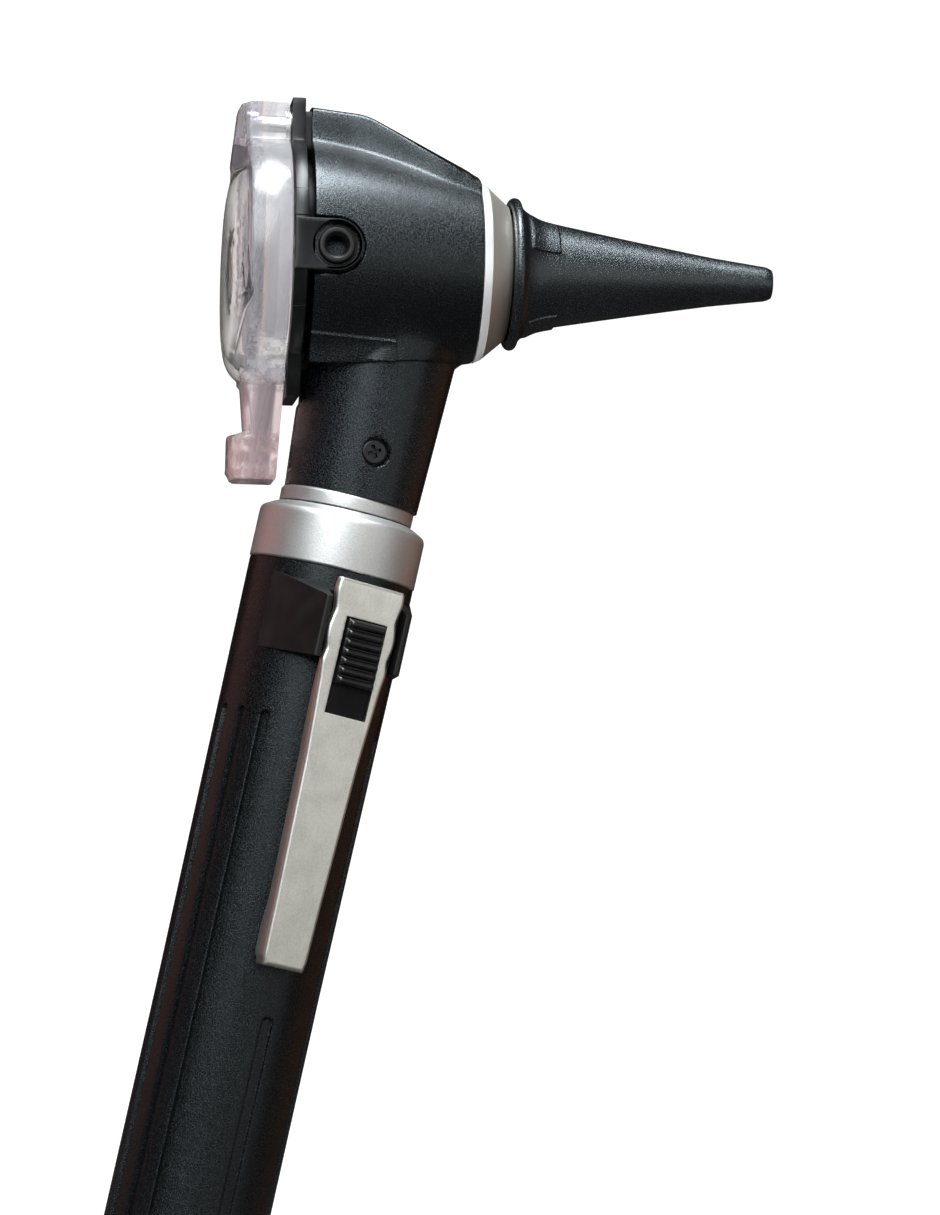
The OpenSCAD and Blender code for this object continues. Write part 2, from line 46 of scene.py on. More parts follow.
class Wire:
    """One output of a material's nodes. + - and * add Math nodes, with a number or a wire on either side."""

    def __init__(self, socket):
        self.socket = socket

    def node(self, kind, settings=(), values=(), output=0):
        """Adds a node to the same material, with its settings and the value or wire of each socket. Gives
        the wire of one output."""
        tree = self.socket.id_data
        made = tree.nodes.new("ShaderNode" + kind)
        for name, value in dict(settings).items():
            setattr(made, name, value)
        for name, value in dict(values).items():
            if isinstance(value, Wire):
                tree.links.new(value.socket, made.inputs[name])
            else:
                made.inputs[name].default_value = value
        return Wire(made.outputs[output]) if made.outputs else None

    def math(self, operation, other=0.0):
        """A Math node on this value and the other."""
        return self.node("Math", {"operation": operation}, {0: self, 1: other})

    def __add__(self, other):
        return self.math("ADD", other)

    def __sub__(self, other):
        return self.math("SUBTRACT", other)

    def __rsub__(self, other):
        return self.node("Math", {"operation": "SUBTRACT"}, {0: other, 1: self})

    def __mul__(self, other):
        return self.math("MULTIPLY", other)

    __radd__, __rmul__ = __add__, __mul__

    def hypot(self, other):
        """Root of this value squared plus the other squared."""
        return (self * self + other * other).math("SQRT")

    def axis(self, name):
        """The X, Y or Z part of this vector."""
        return self.node("SeparateXYZ", {}, {"Vector": self}, name)

    def noise(self, scale, detail=2.0):
        """Cloudy noise on this vector, with scale lumps to the metre."""
        return self.node("TexNoise", {}, {"Vector": self, "Scale": scale, "Detail": detail}, "Fac")

    def step(self, low, high, a=0.0, b=1.0):
        """Rises smoothly from a to b as this value goes from low to high."""
        return self.node("MapRange", {"interpolation_type": "SMOOTHSTEP"},
                         {"Value": self, "From Min": low, "From Max": high, "To Min": a, "To Max": b})

    def between(self, a, b):
        """The colour that this value picks between a and b, each a wire or a (red, green, blue)."""
        a, b = [c if isinstance(c, Wire) else (*c, 1) for c in (a, b)]
        return self.node("Mix", {"data_type": "RGBA"}, {"Factor": self, "A": a, "B": b}, "Result")

    def ramp(self, *stops):
        """The colour at this value on a ramp whose stops are (value, colour)."""
        colour = self.node("ValToRGB", {}, {"Fac": self}, "Color")
        elements = colour.socket.node.color_ramp.elements
        for place, _ in stops[2:]:
            elements.new(place)
        for element, (place, shade) in zip(elements, stops):
            element.position, element.color = place, (*shade, 1)
        return colour

    def bump(self, strength, depth):
        """The normal of a surface raised by this value, with depth in metres."""
        return self.node("Bump", {}, {"Height": self, "Strength": strength, "Distance": depth})


def new_finish(name):
    """An empty material, and the wire of its Object coordinates in metres."""
    finish = bpy.data.materials.new(name)
    finish.use_nodes = True
    finish.node_tree.nodes.clear()
    place = finish.node_tree.nodes.new("ShaderNodeTexCoord")
    return finish, Wire(place.outputs["Object"])


def coat(place, **values):
    """Ends a material with a Principled shader; spaces in socket names are written as underscores."""
    shader = place.node("BsdfPrincipled", {}, {name.replace("_", " "): v for name, v in values.items()})
    place.node("OutputMaterial", {}, {"Surface": shader})


def grained_plastic(name, colour, painted_glint, grain, depth, rough, shine=0.5):
    """Moulded plastic with a spark-eroded grain: small close peaks on soft low lumps drive the bump, and
    their tops are a little smoother and painted a lighter blue-grey: painted sparkle that stands in for
    glints of light on the grain. How strongly the peaks are painted drifts a little over some millimetres."""
    finish, place = new_finish(name)
    lumps = place.noise(grain * 0.6, 2.0)
    peaks = place.noise(grain, 1.0).step(0.46, 0.64)
    drift = place.noise(140.0, 2.0).step(0.3, 0.7, 0.5, 1.0)
    bump = (peaks * 0.7 + lumps * 0.5).bump(1.0, depth)
    # Base colour: painted sparkle, the peaks painted lighter to stand in for glints of light.
    coat(place, Base_Color=(peaks * drift).between(colour, painted_glint), Roughness=rough - peaks * 0.1,
         Normal=bump, IOR=1.5, Specular_IOR_Level=shine, Specular_Tint=(0.84, 0.95, 1.0, 1))
    return finish


GRAIN = 7400.0
DEEP_BLACK = (0.0006, 0.0006, 0.0007)
# The second colour given to grained_plastic is painted sparkle: a lighter blue-grey on the grain's peaks,
# standing in for glints of light.
black_abs = grained_plastic("black_abs", DEEP_BLACK, (0.004, 0.0047, 0.006), GRAIN, 0.00002, 0.29)


def quads(rows, columns, loop=False):
    """Faces between the neighbours of a grid of points whose columns close on themselves; loop also joins
    the last row to the first."""
    i = np.arange(rows if loop else rows - 1)[:, None]
    j = np.arange(columns)[None, :]
    near, far = i * columns, (i + 1) % rows * columns
    right = (j + 1) % columns
    return np.stack([near + j, near + right, far + right, far + j], -1).reshape(-1, 4)


def placed(name, data):
    """Puts a new object in the scene."""
    made = bpy.data.objects.new(name, data)
    bpy.context.scene.collection.objects.link(made)
    return made


def piece(name, points, faces, finish, body, nodes, slot, sharp=35):
    """Makes a mesh from points in millimetres: welds seams and poles, turns it right side out where its
    volume comes out negative, and shades it smooth except over sharp degrees. Then rides it on its body
    in place of its nodes."""
    mesh = bpy.data.meshes.new(name)
    points = np.asarray(points).reshape(-1, 3) / 1000
    mesh.from_pydata(points.tolist(), [], [list(map(int, face)) for face in faces])
    solid = bmesh.new()
    solid.from_mesh(mesh)
    bmesh.ops.remove_doubles(solid, verts=solid.verts, dist=2e-7)
    bmesh.ops.dissolve_degenerate(solid, edges=solid.edges, dist=1e-8)
    if solid.calc_volume(signed=True) < 0:
        bmesh.ops.reverse_faces(solid, faces=solid.faces)
    solid.to_mesh(mesh)
    solid.free()
    mesh.shade_smooth()
    mesh.set_sharp_from_angle(angle=math.radians(sharp))
    mesh.materials.append(finish)
    made = placed(name, mesh)
    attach(made, body)
    if nodes:
        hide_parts(*nodes)
    return made


def tube(name, points, *details):
    """A piece from a grid of points whose last row joins its first."""
    return piece(name, points, quads(*points.shape[:2], loop=True), *details)


def rounded(corners, reach=0.1, steps=4, loop=False):
    """Rounds a polyline: each corner C gives way to (1-t)^2 A + 2t(1-t) C + t^2 B, with A and B up to reach
    away from it along its two sides."""
    corner = np.asarray(corners, float)
    reach = np.broadcast_to(np.asarray(reach, float), len(corner))[:, None]

    def along(side):
        length = np.linalg.norm(side, axis=1, keepdims=True)
        return corner + side / np.maximum(length, 1e-9) * np.minimum(reach, length * 0.45)

    a, b = along(np.roll(corner, 1, 0) - corner), along(np.roll(corner, -1, 0) - corner)
    t = np.linspace(0, 1, steps + 1)[:, None, None]
    curve = ((1 - t) ** 2 * a + 2 * t * (1 - t) * corner + t ** 2 * b).transpose(1, 0, 2)
    if loop:
        return curve.reshape(-1, 2)
    return np.concatenate([corner[:1], curve[1:-1].reshape(-1, 2), corner[-1:]])


def stations(low, high, step, *spots):
    """Places from low to high about step apart, closing up to fine within reach of each spot
    (spot, reach, fine): equal parts of the running total of 1 / local step."""
    x = np.linspace(low, high, 24001)
    local = np.full(x.shape, float(step))
    for spot, reach, fine in spots:
        local = np.minimum(local, fine + 0.3 * np.maximum(np.abs(x - spot) - reach, 0))
    total = np.concatenate([[0], np.cumsum((1 / local)[1:] * np.diff(x))])
    return np.interp(np.linspace(0, total[-1], int(np.ceil(total[-1])) + 1), total, x)


def ease(low, high, x):
    """0 below low, 1 above high, and 3t^2 - 2t^3 between."""
    t = np.clip((x - low) / (high - low), 0, 1)
    return t * t * (3 - 2 * t)


def wrapped(angle, whole=2 * math.pi):
    """The same angle between half a turn back and half a turn on."""
    return (angle + whole / 2) % whole - whole / 2


def around(step, *spots, start=0):
    """Angles in radians round a full turn, laid out in degrees by stations()."""
    return np.radians(stations(start, start + 360, step, *spots)[:-1])


def xyz(x, y, z):
    """A grid of points from the grids of its three coordinates, all stretched to one shape."""
    return np.stack(np.broadcast_arrays(x, y, z), -1)


CLIP_DEGREES = 21
BASE_R, TOP_R, SLEEVE_TOP = 9.5, 9.85, 115.2
FLUTES = [(side * (49 + 20 * i), 0.56, 96.9, 0.5) for side in (-1, 1) for i in range(5)]
FLUTES += [(1, 0.75, 62.3, 0.3), (181, 0.75, 62.3, 0.3)]


def sleeve_points():
    """Radius over height and angle: a straight tube that widens from 66 mm up, less the depth of each
    flute where the distance to its centre line is under its half width, with soft edges."""
    spots = [(wrapped(angle + CLIP_DEGREES, 360), 4.3, 0.62) for angle, *_ in FLUTES]
    turn = around(3.5, *spots, start=-180)
    levels = [(5, 1.2, 0.2), (62.8, 1.3, 0.16), (66, 1, 0.7), (97.3, 1.2, 0.16)]
    heights = stations(1.8, SLEEVE_TOP, 3.0, *levels)
    foot = rounded([[0, 0], [7.9, 0], [8.9, 0.35], [BASE_R, 1.8]], 0.6)
    wall = np.stack([np.interp(heights, [66, SLEEVE_TOP], [BASE_R, TOP_R]), heights], 1)
    bore_r, floor, stem_r, stem_foot, rim = 8.1, 2.4, 8.42, 107.2, SLEEVE_TOP + 0.04
    bore = [[TOP_R - 0.08, rim], [stem_r, rim], [stem_r, stem_foot], [bore_r, stem_foot], [bore_r, floor],
            [0, floor]]
    outline = np.concatenate([foot[:-1], wall, bore])
    radius, height = outline[:, :1] + 0 * turn, outline[:, 1:] + 0 * turn
    on_wall = np.zeros(len(outline), bool)
    on_wall[len(foot) - 1:len(foot) - 1 + len(wall)] = True
    for angle, half, top, deep in FLUTES:
        across = wrapped(turn - math.radians(angle + CLIP_DEGREES))
        along = np.maximum(np.maximum(height - top, 5.5 - height), 0)
        off = np.hypot(across * BASE_R, along) - half
        radius = radius - deep * (1 - ease(-0.14, 0.08, off)) * on_wall[:, None]
    return xyz(radius * np.sin(turn), -radius * np.cos(turn), height)


sleeve = sleeve_points()
piece("sleeve", sleeve, quads(*sleeve.shape[:2]), black_abs, "handle", ["handle_sleeve"], "textured_black")

# ------------------------------------------------------------------- collar
# Turned aluminium, bead blasted and clear anodised. Its stem is pressed into the sleeve; above, a wide
# chamfer leads to the thin dark joint under the head.


def lathe(outline, sides=160):
    """Turns (radius, height) rows about an axis: grids of r sin a, r cos a and the height."""
    a = np.linspace(0, 2 * np.pi, sides, endpoint=False)
    r, h = outline[:, :1], outline[:, 1:]
    return r * np.sin(a), r * np.cos(a), h + 0 * a


def turned(outline):
    """The outline turned about the handle's axis."""
    sine, cosine, height = lathe(outline)
    return xyz(sine, -cosine, height)


def blasted_metal(name, colour, rough, grain=5200.0, depth=0.00002):
    """Bead-blasted metal: a very fine bump, roughness that wanders a little, and faint handling marks."""
    finish, place = new_finish(name)
    beads = place.noise(grain, 2.0)
    marks = place.noise(260.0, 4.0).step(0.52, 0.72)
    dark = tuple(0.86 * c for c in colour)
    bump = beads.bump(1.0, depth)
    tone = (marks * 0.35 + beads.step(0.35, 0.65, -0.3, 0.6)).between(colour, dark)
    coat(place, Base_Color=tone, Metallic=1.0, Roughness=rough + marks * 0.05 + beads * 0.06, Normal=bump)
    return finish


satin_aluminium = blasted_metal("satin_aluminium", (0.73, 0.73, 0.72), 0.46)
collar = turned(rounded([
    [7.45, 107.4], [8.38, 107.4], [8.38, 115.28], [9.72, 115.28], [9.95, 115.48], [9.95, 121.1],
    [9.72, 121.6], [8.45, 122.28], [8.1, 122.42], [7.85, 122.3], [7.45, 122.3]],
    [0.1, 0.1, 0.1, 0.12, 0.12, 0.3, 0.3, 0.16, 0.1, 0.06, 0.1], loop=True))
tube("collar", collar, satin_aluminium, "handle", ["handle_collar"], "satin_aluminium")

# ------------------------------------------------------- saddle under the clip
# A smooth black moulding that straddles the handle. Its two walls leave the sleeve as tangents and end
# in cheeks beside the clip; the top is bevelled down and outwards.


def spun(x, y, turn):
    """The point (x, y) turned about the origin, anticlockwise by so many radians."""
    c, s = math.cos(turn), math.sin(turn)
    return x * c - y * s, x * s + y * c


def at_clip(x, y, z):
    """Clip frame to object frame: x across the clip, y inwards, turned round the handle to its side."""
    return xyz(*spun(x, y, math.radians(CLIP_DEGREES)), z)


def smooth_plastic(name, colour, rough, wander=0.08, shine=0.5, painted_shade=None):
    """Polished mould plastic: hardly any grain, with faint flow marks and a smeared gloss. Where the last
    mask given is 1 it is made metal of that black, so nothing comes back from it: painted shade in a recess."""
    finish, place = new_finish(name)
    flow = place.noise(420.0, 3.0)
    fine = place.noise(5200.0, 1.0)
    pale = tuple(min(1.0, 1.6 * c + 0.002) for c in colour)
    bump = (fine * 0.6 + flow).bump(0.6, 0.00002)
    coat(place, Base_Color=flow.step(0.4, 0.75).between(colour, pale),
         Metallic=painted_shade(place) if painted_shade else 0.0,
         Roughness=rough + flow * wander, Normal=bump, IOR=1.5, Specular_IOR_Level=shine)
    return finish


smooth_abs = smooth_plastic("smooth_abs", (0.003, 0.0027, 0.0027), 0.38, shine=0.36)
SADDLE = (104.7, 113.8)


def prism(outline, low, high):
    """Walls between an outline at low and the same outline at high, closed by one many-sided face at each
    end; low and high may differ from point to point. The outline is in the clip frame."""
    n = len(outline)
    x, y = np.asarray(outline).T
    points = np.concatenate([at_clip(x, y, low + 0 * x), at_clip(x, y, high + 0 * x)])
    return points, [*quads(2, n), range(n - 1, -1, -1), range(n, 2 * n)]


def saddle_outline():
    """Half an outline and its mirror image: a wall that leaves the sleeve as a tangent, its rounded cheek,
    the channel's floor, and the slot for the switch's contact."""
    cheek = (5.5, 12.35)
    touch = math.atan2(*cheek) + math.acos(TOP_R / math.hypot(*cheek))
    start = np.array([-math.sin(touch), -math.cos(touch)])
    inner_r = 9.2
    half = rounded([start * inner_r, start * TOP_R, [-5.55, -12.38], [-4.8, -12.38], [-4.8, -10.6],
                    [-1.6, -10.6], [-1.6, -9.35], [0, -9.35]],
                   [0.05, 0.05, 0.34, 0.22, 0.15, 0.1, 0.1, 0.1], 5)
    arc = np.linspace(touch, -touch, 24)[1:-1]
    inside = inner_r * np.stack([np.sin(arc), -np.cos(arc)], 1)
    return np.concatenate([half, (half * [-1, 1])[-2::-1], inside])


def edge_rounded(made, width, segments, degrees):
    """Rounds the edges that turn by more than so many degrees."""
    edge = made.modifiers.new("edge", "BEVEL")
    edge.width, edge.segments = width, segments
    edge.limit_method, edge.angle_limit = "ANGLE", math.radians(degrees)
    return edge


outline = saddle_outline()
crest = SADDLE[1] - 0.455 * np.maximum(-outline[:, 1] - 7.95, 0)
saddle = prism(outline, SADDLE[0], crest)
saddle = piece("saddle", *saddle, smooth_abs, "handle", ["clip_bracket"], "smooth_black")
edge_rounded(saddle, 0.00014, 3, 38).harden_normals = True

# ------------------------------------------------------------------ pocket clip
# Spring steel 0.45 mm thick, blanked, folded down both long sides, and brushed to a satin. Its sides wave
# in twice beside the switch, and the folded sides deepen into a foot that rests on the handle.
CLIP_FACE = 12.1
CLIP_ENDS = (68.8, 114.3)
CLIP_WINDOW = (-2.47, 2.87, 98.6, 110.0)


def softened(x, knots, values, reach):
    """Straight lines through the knots, averaged over reach on both sides of x."""
    shift = np.linspace(-reach, reach, 15)
    return np.interp(x[:, None] + shift, knots, values).mean(1)


def clip_points():
    """Across each height: up the left side, round a corner, over the face, round and down the right side.
    At both ends extra rows roll every point inwards to at least the row's own depth. Also gives the rows
    and columns that bound the window."""
    low, high = CLIP_ENDS
    z = stations(low + 0.55, high - 0.5, 1.1, (CLIP_WINDOW[2], 0.25, 0.12), (CLIP_WINDOW[3], 0.25, 0.12),
                 (108, 4.5, 0.22), (74.5, 2.2, 0.22), (69.5, 0.8, 0.15), (104, 1, 0.2))
    for exact in CLIP_WINDOW[2:]:
        z[np.argmin(np.abs(z - exact))] = exact
    half = softened(
        z, [69.3, 69.9, 76, 93.5, 102.3, 104.6, 105.9, 107.2, 108.4, 109.4, 110.5, 111.6, 112.8, 114],
        [2.6, 2.8, 2.93, 3.45, 4.02, 4.28, 4.03, 4.33, 4.42, 4.26, 4.02, 4.2, 4.42, 4.3], 0.35)
    deep = softened(z, [69.2, 70, 73.6, 76.2, 96, 102.3, 103.9], [2.1, 2.75, 2.7, 2.15, 2.05, 1.5, 0.9], 0.6)
    bend = np.linspace(0, np.pi / 2, 7)
    r = 0.5
    wall = np.linspace(1, 0, 6)[None, :-1]
    depth_side = r + (deep[:, None] - r) * wall
    x_side = 0 * depth_side - half[:, None]
    x_bend = -half[:, None] + r * (1 - np.cos(bend))
    depth_bend = r * (1 - np.sin(bend)) + 0 * x_bend
    shrink = np.minimum(1, (half - r - 0.12) / 2.87)[:, None]
    left, right = CLIP_WINDOW[0] * shrink, CLIP_WINDOW[1] * shrink
    edge_x = (-half + r)[:, None]
    x_face = np.concatenate([
        edge_x + (left - edge_x) * np.linspace(0, 1, 4)[1:],
        left + (right - left) * np.linspace(0, 1, 9)[1:-1],
        right + (-edge_x - right) * np.linspace(0, 1, 4)[:-1]], 1)
    x = np.concatenate([x_side, x_bend, x_face, -x_bend[:, ::-1], -x_side[:, ::-1]], 1)
    depth = np.concatenate([depth_side, depth_bend, 0 * x_face, depth_bend[:, ::-1], depth_side[:, ::-1]], 1)
    height = z[:, None] + 0 * x

    def roll(row, end, way, radius, reach):
        """Rows after an end: a quarter turn of radius, then inwards to reach, in the direction way."""
        turn = np.linspace(0, np.pi / 2, 6)[1:]
        down = np.concatenate([radius * np.sin(turn), [radius]])
        inward = np.concatenate([radius * (1 - np.cos(turn)), [reach]])
        nip = np.concatenate([0.12 * np.sin(turn) ** 2, [0.16]])[:, None]
        heights = (end + way * down)[:, None] + 0 * x[row]
        return x[row] * (1 - nip * 0.5), np.maximum(depth[row], inward[:, None]), heights

    foot, top = roll(0, z[0], -1, 0.5, 2.0), roll(-1, z[-1], 1, 0.45, 1.25)
    x, depth, height = [np.concatenate([f[::-1], mid, t]) for f, mid, t in zip(foot, (x, depth, height), top)]
    lean, rivet = math.radians(0.7), 112.2
    x, height = spun(x, height - rivet, -lean)
    first, last = [len(foot[0]) + int(np.argmin(np.abs(z - end))) for end in CLIP_WINDOW[2:]]
    beside = x_side.shape[1] + x_bend.shape[1] + 2
    return at_clip(x, depth - CLIP_FACE, height + rivet), (first, last, beside, beside + 8)


def satin_steel():
    """Satin spring steel: short brushed scratches along the clip, a faint green-grey, and a cloudy, speckled
    tone.
    """
    finish, place = new_finish("satin_steel")
    stretched = place.node("Mapping", {}, {"Vector": place, "Scale": (9000.0, 9000.0, 700.0)})
    brush = stretched.noise(1.0, 2.0)
    cloud = place.noise(330.0, 3.0)
    bump = brush.bump(0.5, 0.00001)
    specks = place.noise(4200.0, 2.0).step(0.3, 0.7)
    tone = brush * 0.3 + cloud.step(0.35, 0.65) * 0.3 + specks * 0.4
    coat(place, Base_Color=tone.between((0.9, 0.9, 0.845), (0.66, 0.67, 0.625)), Metallic=1.0,
         Roughness=0.3 + cloud * 0.12 + brush * 0.05, Normal=bump)
    return finish


clip, (first, last, left, right) = clip_points()
rows, columns = clip.shape[:2]
faces = quads(rows, columns).reshape(rows - 1, columns, 4)
keep = np.ones((rows - 1, columns), bool)
keep[:, -1] = False
keep[first:last, left:right] = False
pocket_clip = piece("pocket_clip_sheet", clip, faces[keep], satin_steel(), "clip", ["pocket_clip"],
                    "clip_steel", 50)
wall = pocket_clip.modifiers.new("wall", "SOLIDIFY")
wall.thickness, wall.offset, wall.use_even_offset = 0.00045, -1, True
edge_rounded(pocket_clip, 0.00009, 2, 50)

# ----------------------------------------------------------------- slide switch
# A black slider with seven finger ribs, showing through the clip's window. A flat plate under it runs on
# down the window and slides behind the clip.


def slab(top, under):
    """A closed solid between two grids of points of one shape: the two sheets and the wall round them."""
    rows, columns = top.shape[:2]
    n = rows * columns
    sheet = quads(rows, columns).reshape(rows - 1, columns, 4)[:, :-1].reshape(-1, 4)
    rim = np.concatenate([np.arange(columns), np.arange(1, rows) * columns + columns - 1,
                          np.arange(n - 2, n - columns - 1, -1), np.arange(rows - 2, 0, -1) * columns])
    wall = np.stack([rim, rim + n, np.roll(rim, -1) + n, np.roll(rim, -1)], 1)
    points = np.concatenate([top.reshape(-1, 3), under.reshape(-1, 3)])
    return points, np.concatenate([sheet, sheet[:, ::-1] + n, wall])


RIBS, RIB_PITCH, SLIDER = 7, 1.1, (102.12, 109.85)


def slider_points():
    """Sheets over and under: round ribs, one to a pitch, whose ends fall away in an arc, on a face 0.3 mm
    proud that drops at both ends of the slider."""
    offset, half, end_r = 0.2, 2.38, 0.5
    x = stations(-half, half, 0.3, (-2.15, 0.3, 0.05), (2.15, 0.3, 0.05)) + offset
    z = stations(*SLIDER, 0.085)
    phase = (SLIDER[1] - 0.62 - z) / RIB_PITCH
    nearest = np.round(phase)
    rib = np.sqrt(np.clip(1 - (2.35 * (phase - nearest)) ** 2, 0, 1)) * (nearest < RIBS) * (nearest >= 0)
    past = np.clip(np.abs(x - offset) - 1.9, 0, end_r) / end_r
    ends = np.sqrt(np.clip(1 - past ** 2, 0, 1))
    proud = 0.3 + 0.62 * rib[:, None] * ends - 0.1 * (1 - ends)
    rim = np.minimum(ease(-0.02, 0.1, z - SLIDER[0]), ease(-0.02, 0.1, SLIDER[1] - z))[:, None]
    x, z = np.meshgrid(x, z)
    return at_clip(x, -CLIP_FACE - proud * rim, z), at_clip(x, -CLIP_FACE + 0.8, z)


slider_black = smooth_plastic("slider_black", (0.003, 0.003, 0.0032), 0.28)
piece("slider_ribs", *slab(*slider_points()), slider_black, "switch", ["switch_slider"], "smooth_black")

plate_left, plate_right, plate_top, plate_under = -2.3, 2.7, 0.55 - CLIP_FACE, 1.25 - CLIP_FACE
plate = rounded([[plate_left, plate_top], [plate_right, plate_top], [plate_right, plate_under],
                 [plate_left, plate_under]], 0.1, loop=True)
plate_black = smooth_plastic("plate_black", (0.0015, 0.0015, 0.0015), 0.5, 0.08, 0.2)
piece("slider_plate", *prism(plate, 98.35, 102.3), plate_black, "switch", (), "smooth_black")

# ------------------------------------------------------ screw ring and its seal
# The head's threaded ring, turned from the same aluminium. A thin black seal lies between it and the
# collar.
ring = turned(rounded([
    [5.2, 113.6], [7.35, 113.6], [7.35, 122.7], [7.82, 122.55], [7.98, 122.66], [8.0, 124.02], [7.78, 124.28],
    [5.2, 124.28]], 0.09, loop=True))
tube("ring", ring, satin_aluminium, "head", ["screw_ring"], "satin_aluminium")

seal_black = smooth_plastic("seal_black", (0.01, 0.01, 0.01), 0.6)
seal = turned(rounded([[7.45, 122.32], [7.74, 122.32], [7.74, 122.56], [7.45, 122.64]], 0.08, loop=True))
tube("seal", seal, seal_black, "seal", ["seal_ring"], "seal_rubber")

# ------------------------------------------------------------------- head shell
# The head is one grained black moulding: round behind, drawing in to the nose, with a ridge over it that
# carries the lens pivot, and a flat chin over the neck. Both sides have a pocket for the frame's ear.
TILT, AXIS_HEIGHT = math.radians(11.3), 152.5
SHELL, SHELL_R = (-11.2, 8.9), 14.1
PORT = (-8.65, 0.65)


def in_head(along, side, up):
    """Head frame to object frame: along the viewing axis, sideways, and up across it. The axis rises by
    TILT and crosses the handle's axis at AXIS_HEIGHT."""
    x, z = spun(along, up, TILT)
    return xyz(x, side, z + AXIS_HEIGHT)


def soft_min(a, b, reach):
    """The smaller of two values, rounded over where they come within reach of each other."""
    h = np.clip(0.5 + 0.5 * (b - a) / reach, 0, 1)
    return b + (a - b) * h - reach * h * (1 - h)


def soft_max(a, b, reach):
    """The larger of two values, rounded over in the same way."""
    return -soft_min(-a, -b, reach)


def shell_middle(u):
    """Height of the shell's centre line over the viewing axis: it drops from the eyepiece to the nose."""
    return 0.9 * (SHELL[1] - u) / (SHELL[1] - SHELL[0])


def shell_radius(u, turn):
    """Distance of the shell from its centre line at station u, turned from the top. The body draws in as
    14.1 - 3.3 t^1.35. The ridge is the nearer of a crown that falls away as side^2 / 28 and two walls that
    widen to the front. Below, two flat sides run on into a round skirt over the neck, and end in a flat
    floor; a panel on each flat side stands a little proud."""
    t = np.clip((u - SHELL[0]) / (SHELL[1] - SHELL[0]), 0, 1)
    middle = shell_middle(u)
    cosine, sine = np.cos(turn), np.maximum(np.abs(np.sin(turn)), 1e-3)
    crest = softened(u.ravel(), [-12, -11.2, -4.6, -2.8, 8.15, 9.2],
                     [18.95, 18.85, 18.2, 17.3, 11.75, 10.9], 1.2)
    rise = crest.reshape(u.shape) - middle
    arch = 7.0
    root = np.sqrt(np.maximum(cosine, 0) ** 2 + sine ** 2 * rise / arch)
    crown = 2 * rise / (np.maximum(cosine, 1e-3) + root)
    walls = (4.6 + 2.0 * ease(-7.0, 5.5, u)) / sine
    ridge = soft_min(crown, walls, 1.7 - 1.3 * ease(-8.0, 3.0, u))
    radius = soft_max(SHELL_R - 3.3 * t ** 1.35, np.where(cosine > 0.3, ridge, 0), 2.3 - 1.8 * t)
    skirt_r = 9.4
    across = u * math.cos(TILT) - middle * math.sin(TILT)
    dip = cosine * math.sin(TILT)
    slant = dip ** 2 + sine ** 2
    reach = (across * dip) ** 2 - slant * (across ** 2 - skirt_r ** 2)
    skirt = (across * dip + np.sqrt(np.maximum(reach, 0))) / slant
    skirt = np.where((reach > 0) & (cosine < 0), skirt, 0)
    sides = np.where((u < -1.1) & (cosine < -0.3), (11.24 + 0.18 * middle) / (sine - 0.18 * cosine), 0)
    floor = (np.interp(u, [-9, -5, 8], [12.55, 12.35, 11.5]) + middle) / np.maximum(-cosine, 1e-3)
    radius = soft_min(soft_max(radius, np.minimum(np.maximum(skirt, sides), floor), 1.3), floor, 0.35)
    below = -radius * cosine - middle - (9.0 + 0.067 * (u - SHELL[0]))
    panel = ease(-0.04, 0.05, below) * (below < 2.4) * 0.16 + 0.12 * np.exp(-(below / 0.09) ** 2)
    return radius + panel * (1 - ease(-1.15, -1.05, u)) * (cosine < 0)


def ear_distance(u, v, end=3.05):
    """How far a point seen from the side lies outside the ear: a strip that runs to the port and ends in a
    half circle round it."""
    return np.hypot(np.maximum(u - PORT[0], 0), v - PORT[1]) - end


def both_sides(*spots):
    """Spots for stations() round a full turn: each one and its mirror image."""
    return [*spots, *[(360 - spot, reach, fine) for spot, reach, fine in spots]]


def shell_points():
    """A tube of two walls: outside rows from back to front, then inside rows back again. The outside sinks
    into the ear's pocket and the port's hole; both its ends are rounded."""
    spots = both_sides((90, 14, 0.4), (14, 12, 0.45), (138.5, 5, 0.22), (150, 8, 0.6))
    turn = around(2.0, *spots)[None, :]
    sine = np.abs(np.sin(turn))
    u = stations(*SHELL, 0.45, (-8.2, 3.0, 0.11), (8.7, 0.25, 0.12), (-1.05, 0.2, 0.08),
                 (-3.6, 1, 0.3))[:, None]
    outside = shell_radius(u + 0 * turn, turn + 0 * u)
    middle = shell_middle(u)
    side, up = outside * np.sin(turn), outside * np.cos(turn) + middle
    pocket = 1 - ease(0.2, 0.38, ear_distance(u + 0 * side, up))
    hole = 1 - ease(1.5, 1.75, np.hypot(u - PORT[0], up - PORT[1]))
    for depth, mask in ((13.0, pocket), (11.1, hole)):
        sunk = np.minimum(outside, depth / np.maximum(sine, 1e-3))
        outside = outside + (sunk - outside) * mask * (np.abs(side) > 8)
    for round_r, from_end in ((0.16, u - SHELL[0]), (0.22, SHELL[1] - u)):
        share = np.clip(from_end / round_r, 0, 1)
        outside = outside - round_r * (1 - np.sqrt(1 - (1 - share) ** 2))
    inner_u = np.array([[8.9], [4], [-1], [-5.8], [-6.6], [-7.4], [-8.65], [-9.9], [-10.7], [-11.2]])
    inside = 12.5 - 3.2 * ((inner_u - SHELL[0]) / (SHELL[1] - SHELL[0])) ** 1.2 + 0 * turn
    boss = np.hypot(inner_u - PORT[0], 12.4 * np.cos(turn) + shell_middle(inner_u) - PORT[1])
    inside = inside - 1.6 * (1 - ease(1.9, 2.5, boss)) * (sine > 0.5)
    u_all = np.concatenate([u, inner_u])
    radius = np.concatenate([outside, inside])
    return in_head(u_all + 0 * turn, -radius * np.sin(turn), radius * np.cos(turn) + shell_middle(u_all))


shell = shell_points()
tube("shell", shell, black_abs, "head", ["head_shell"], "textured_black", 40)

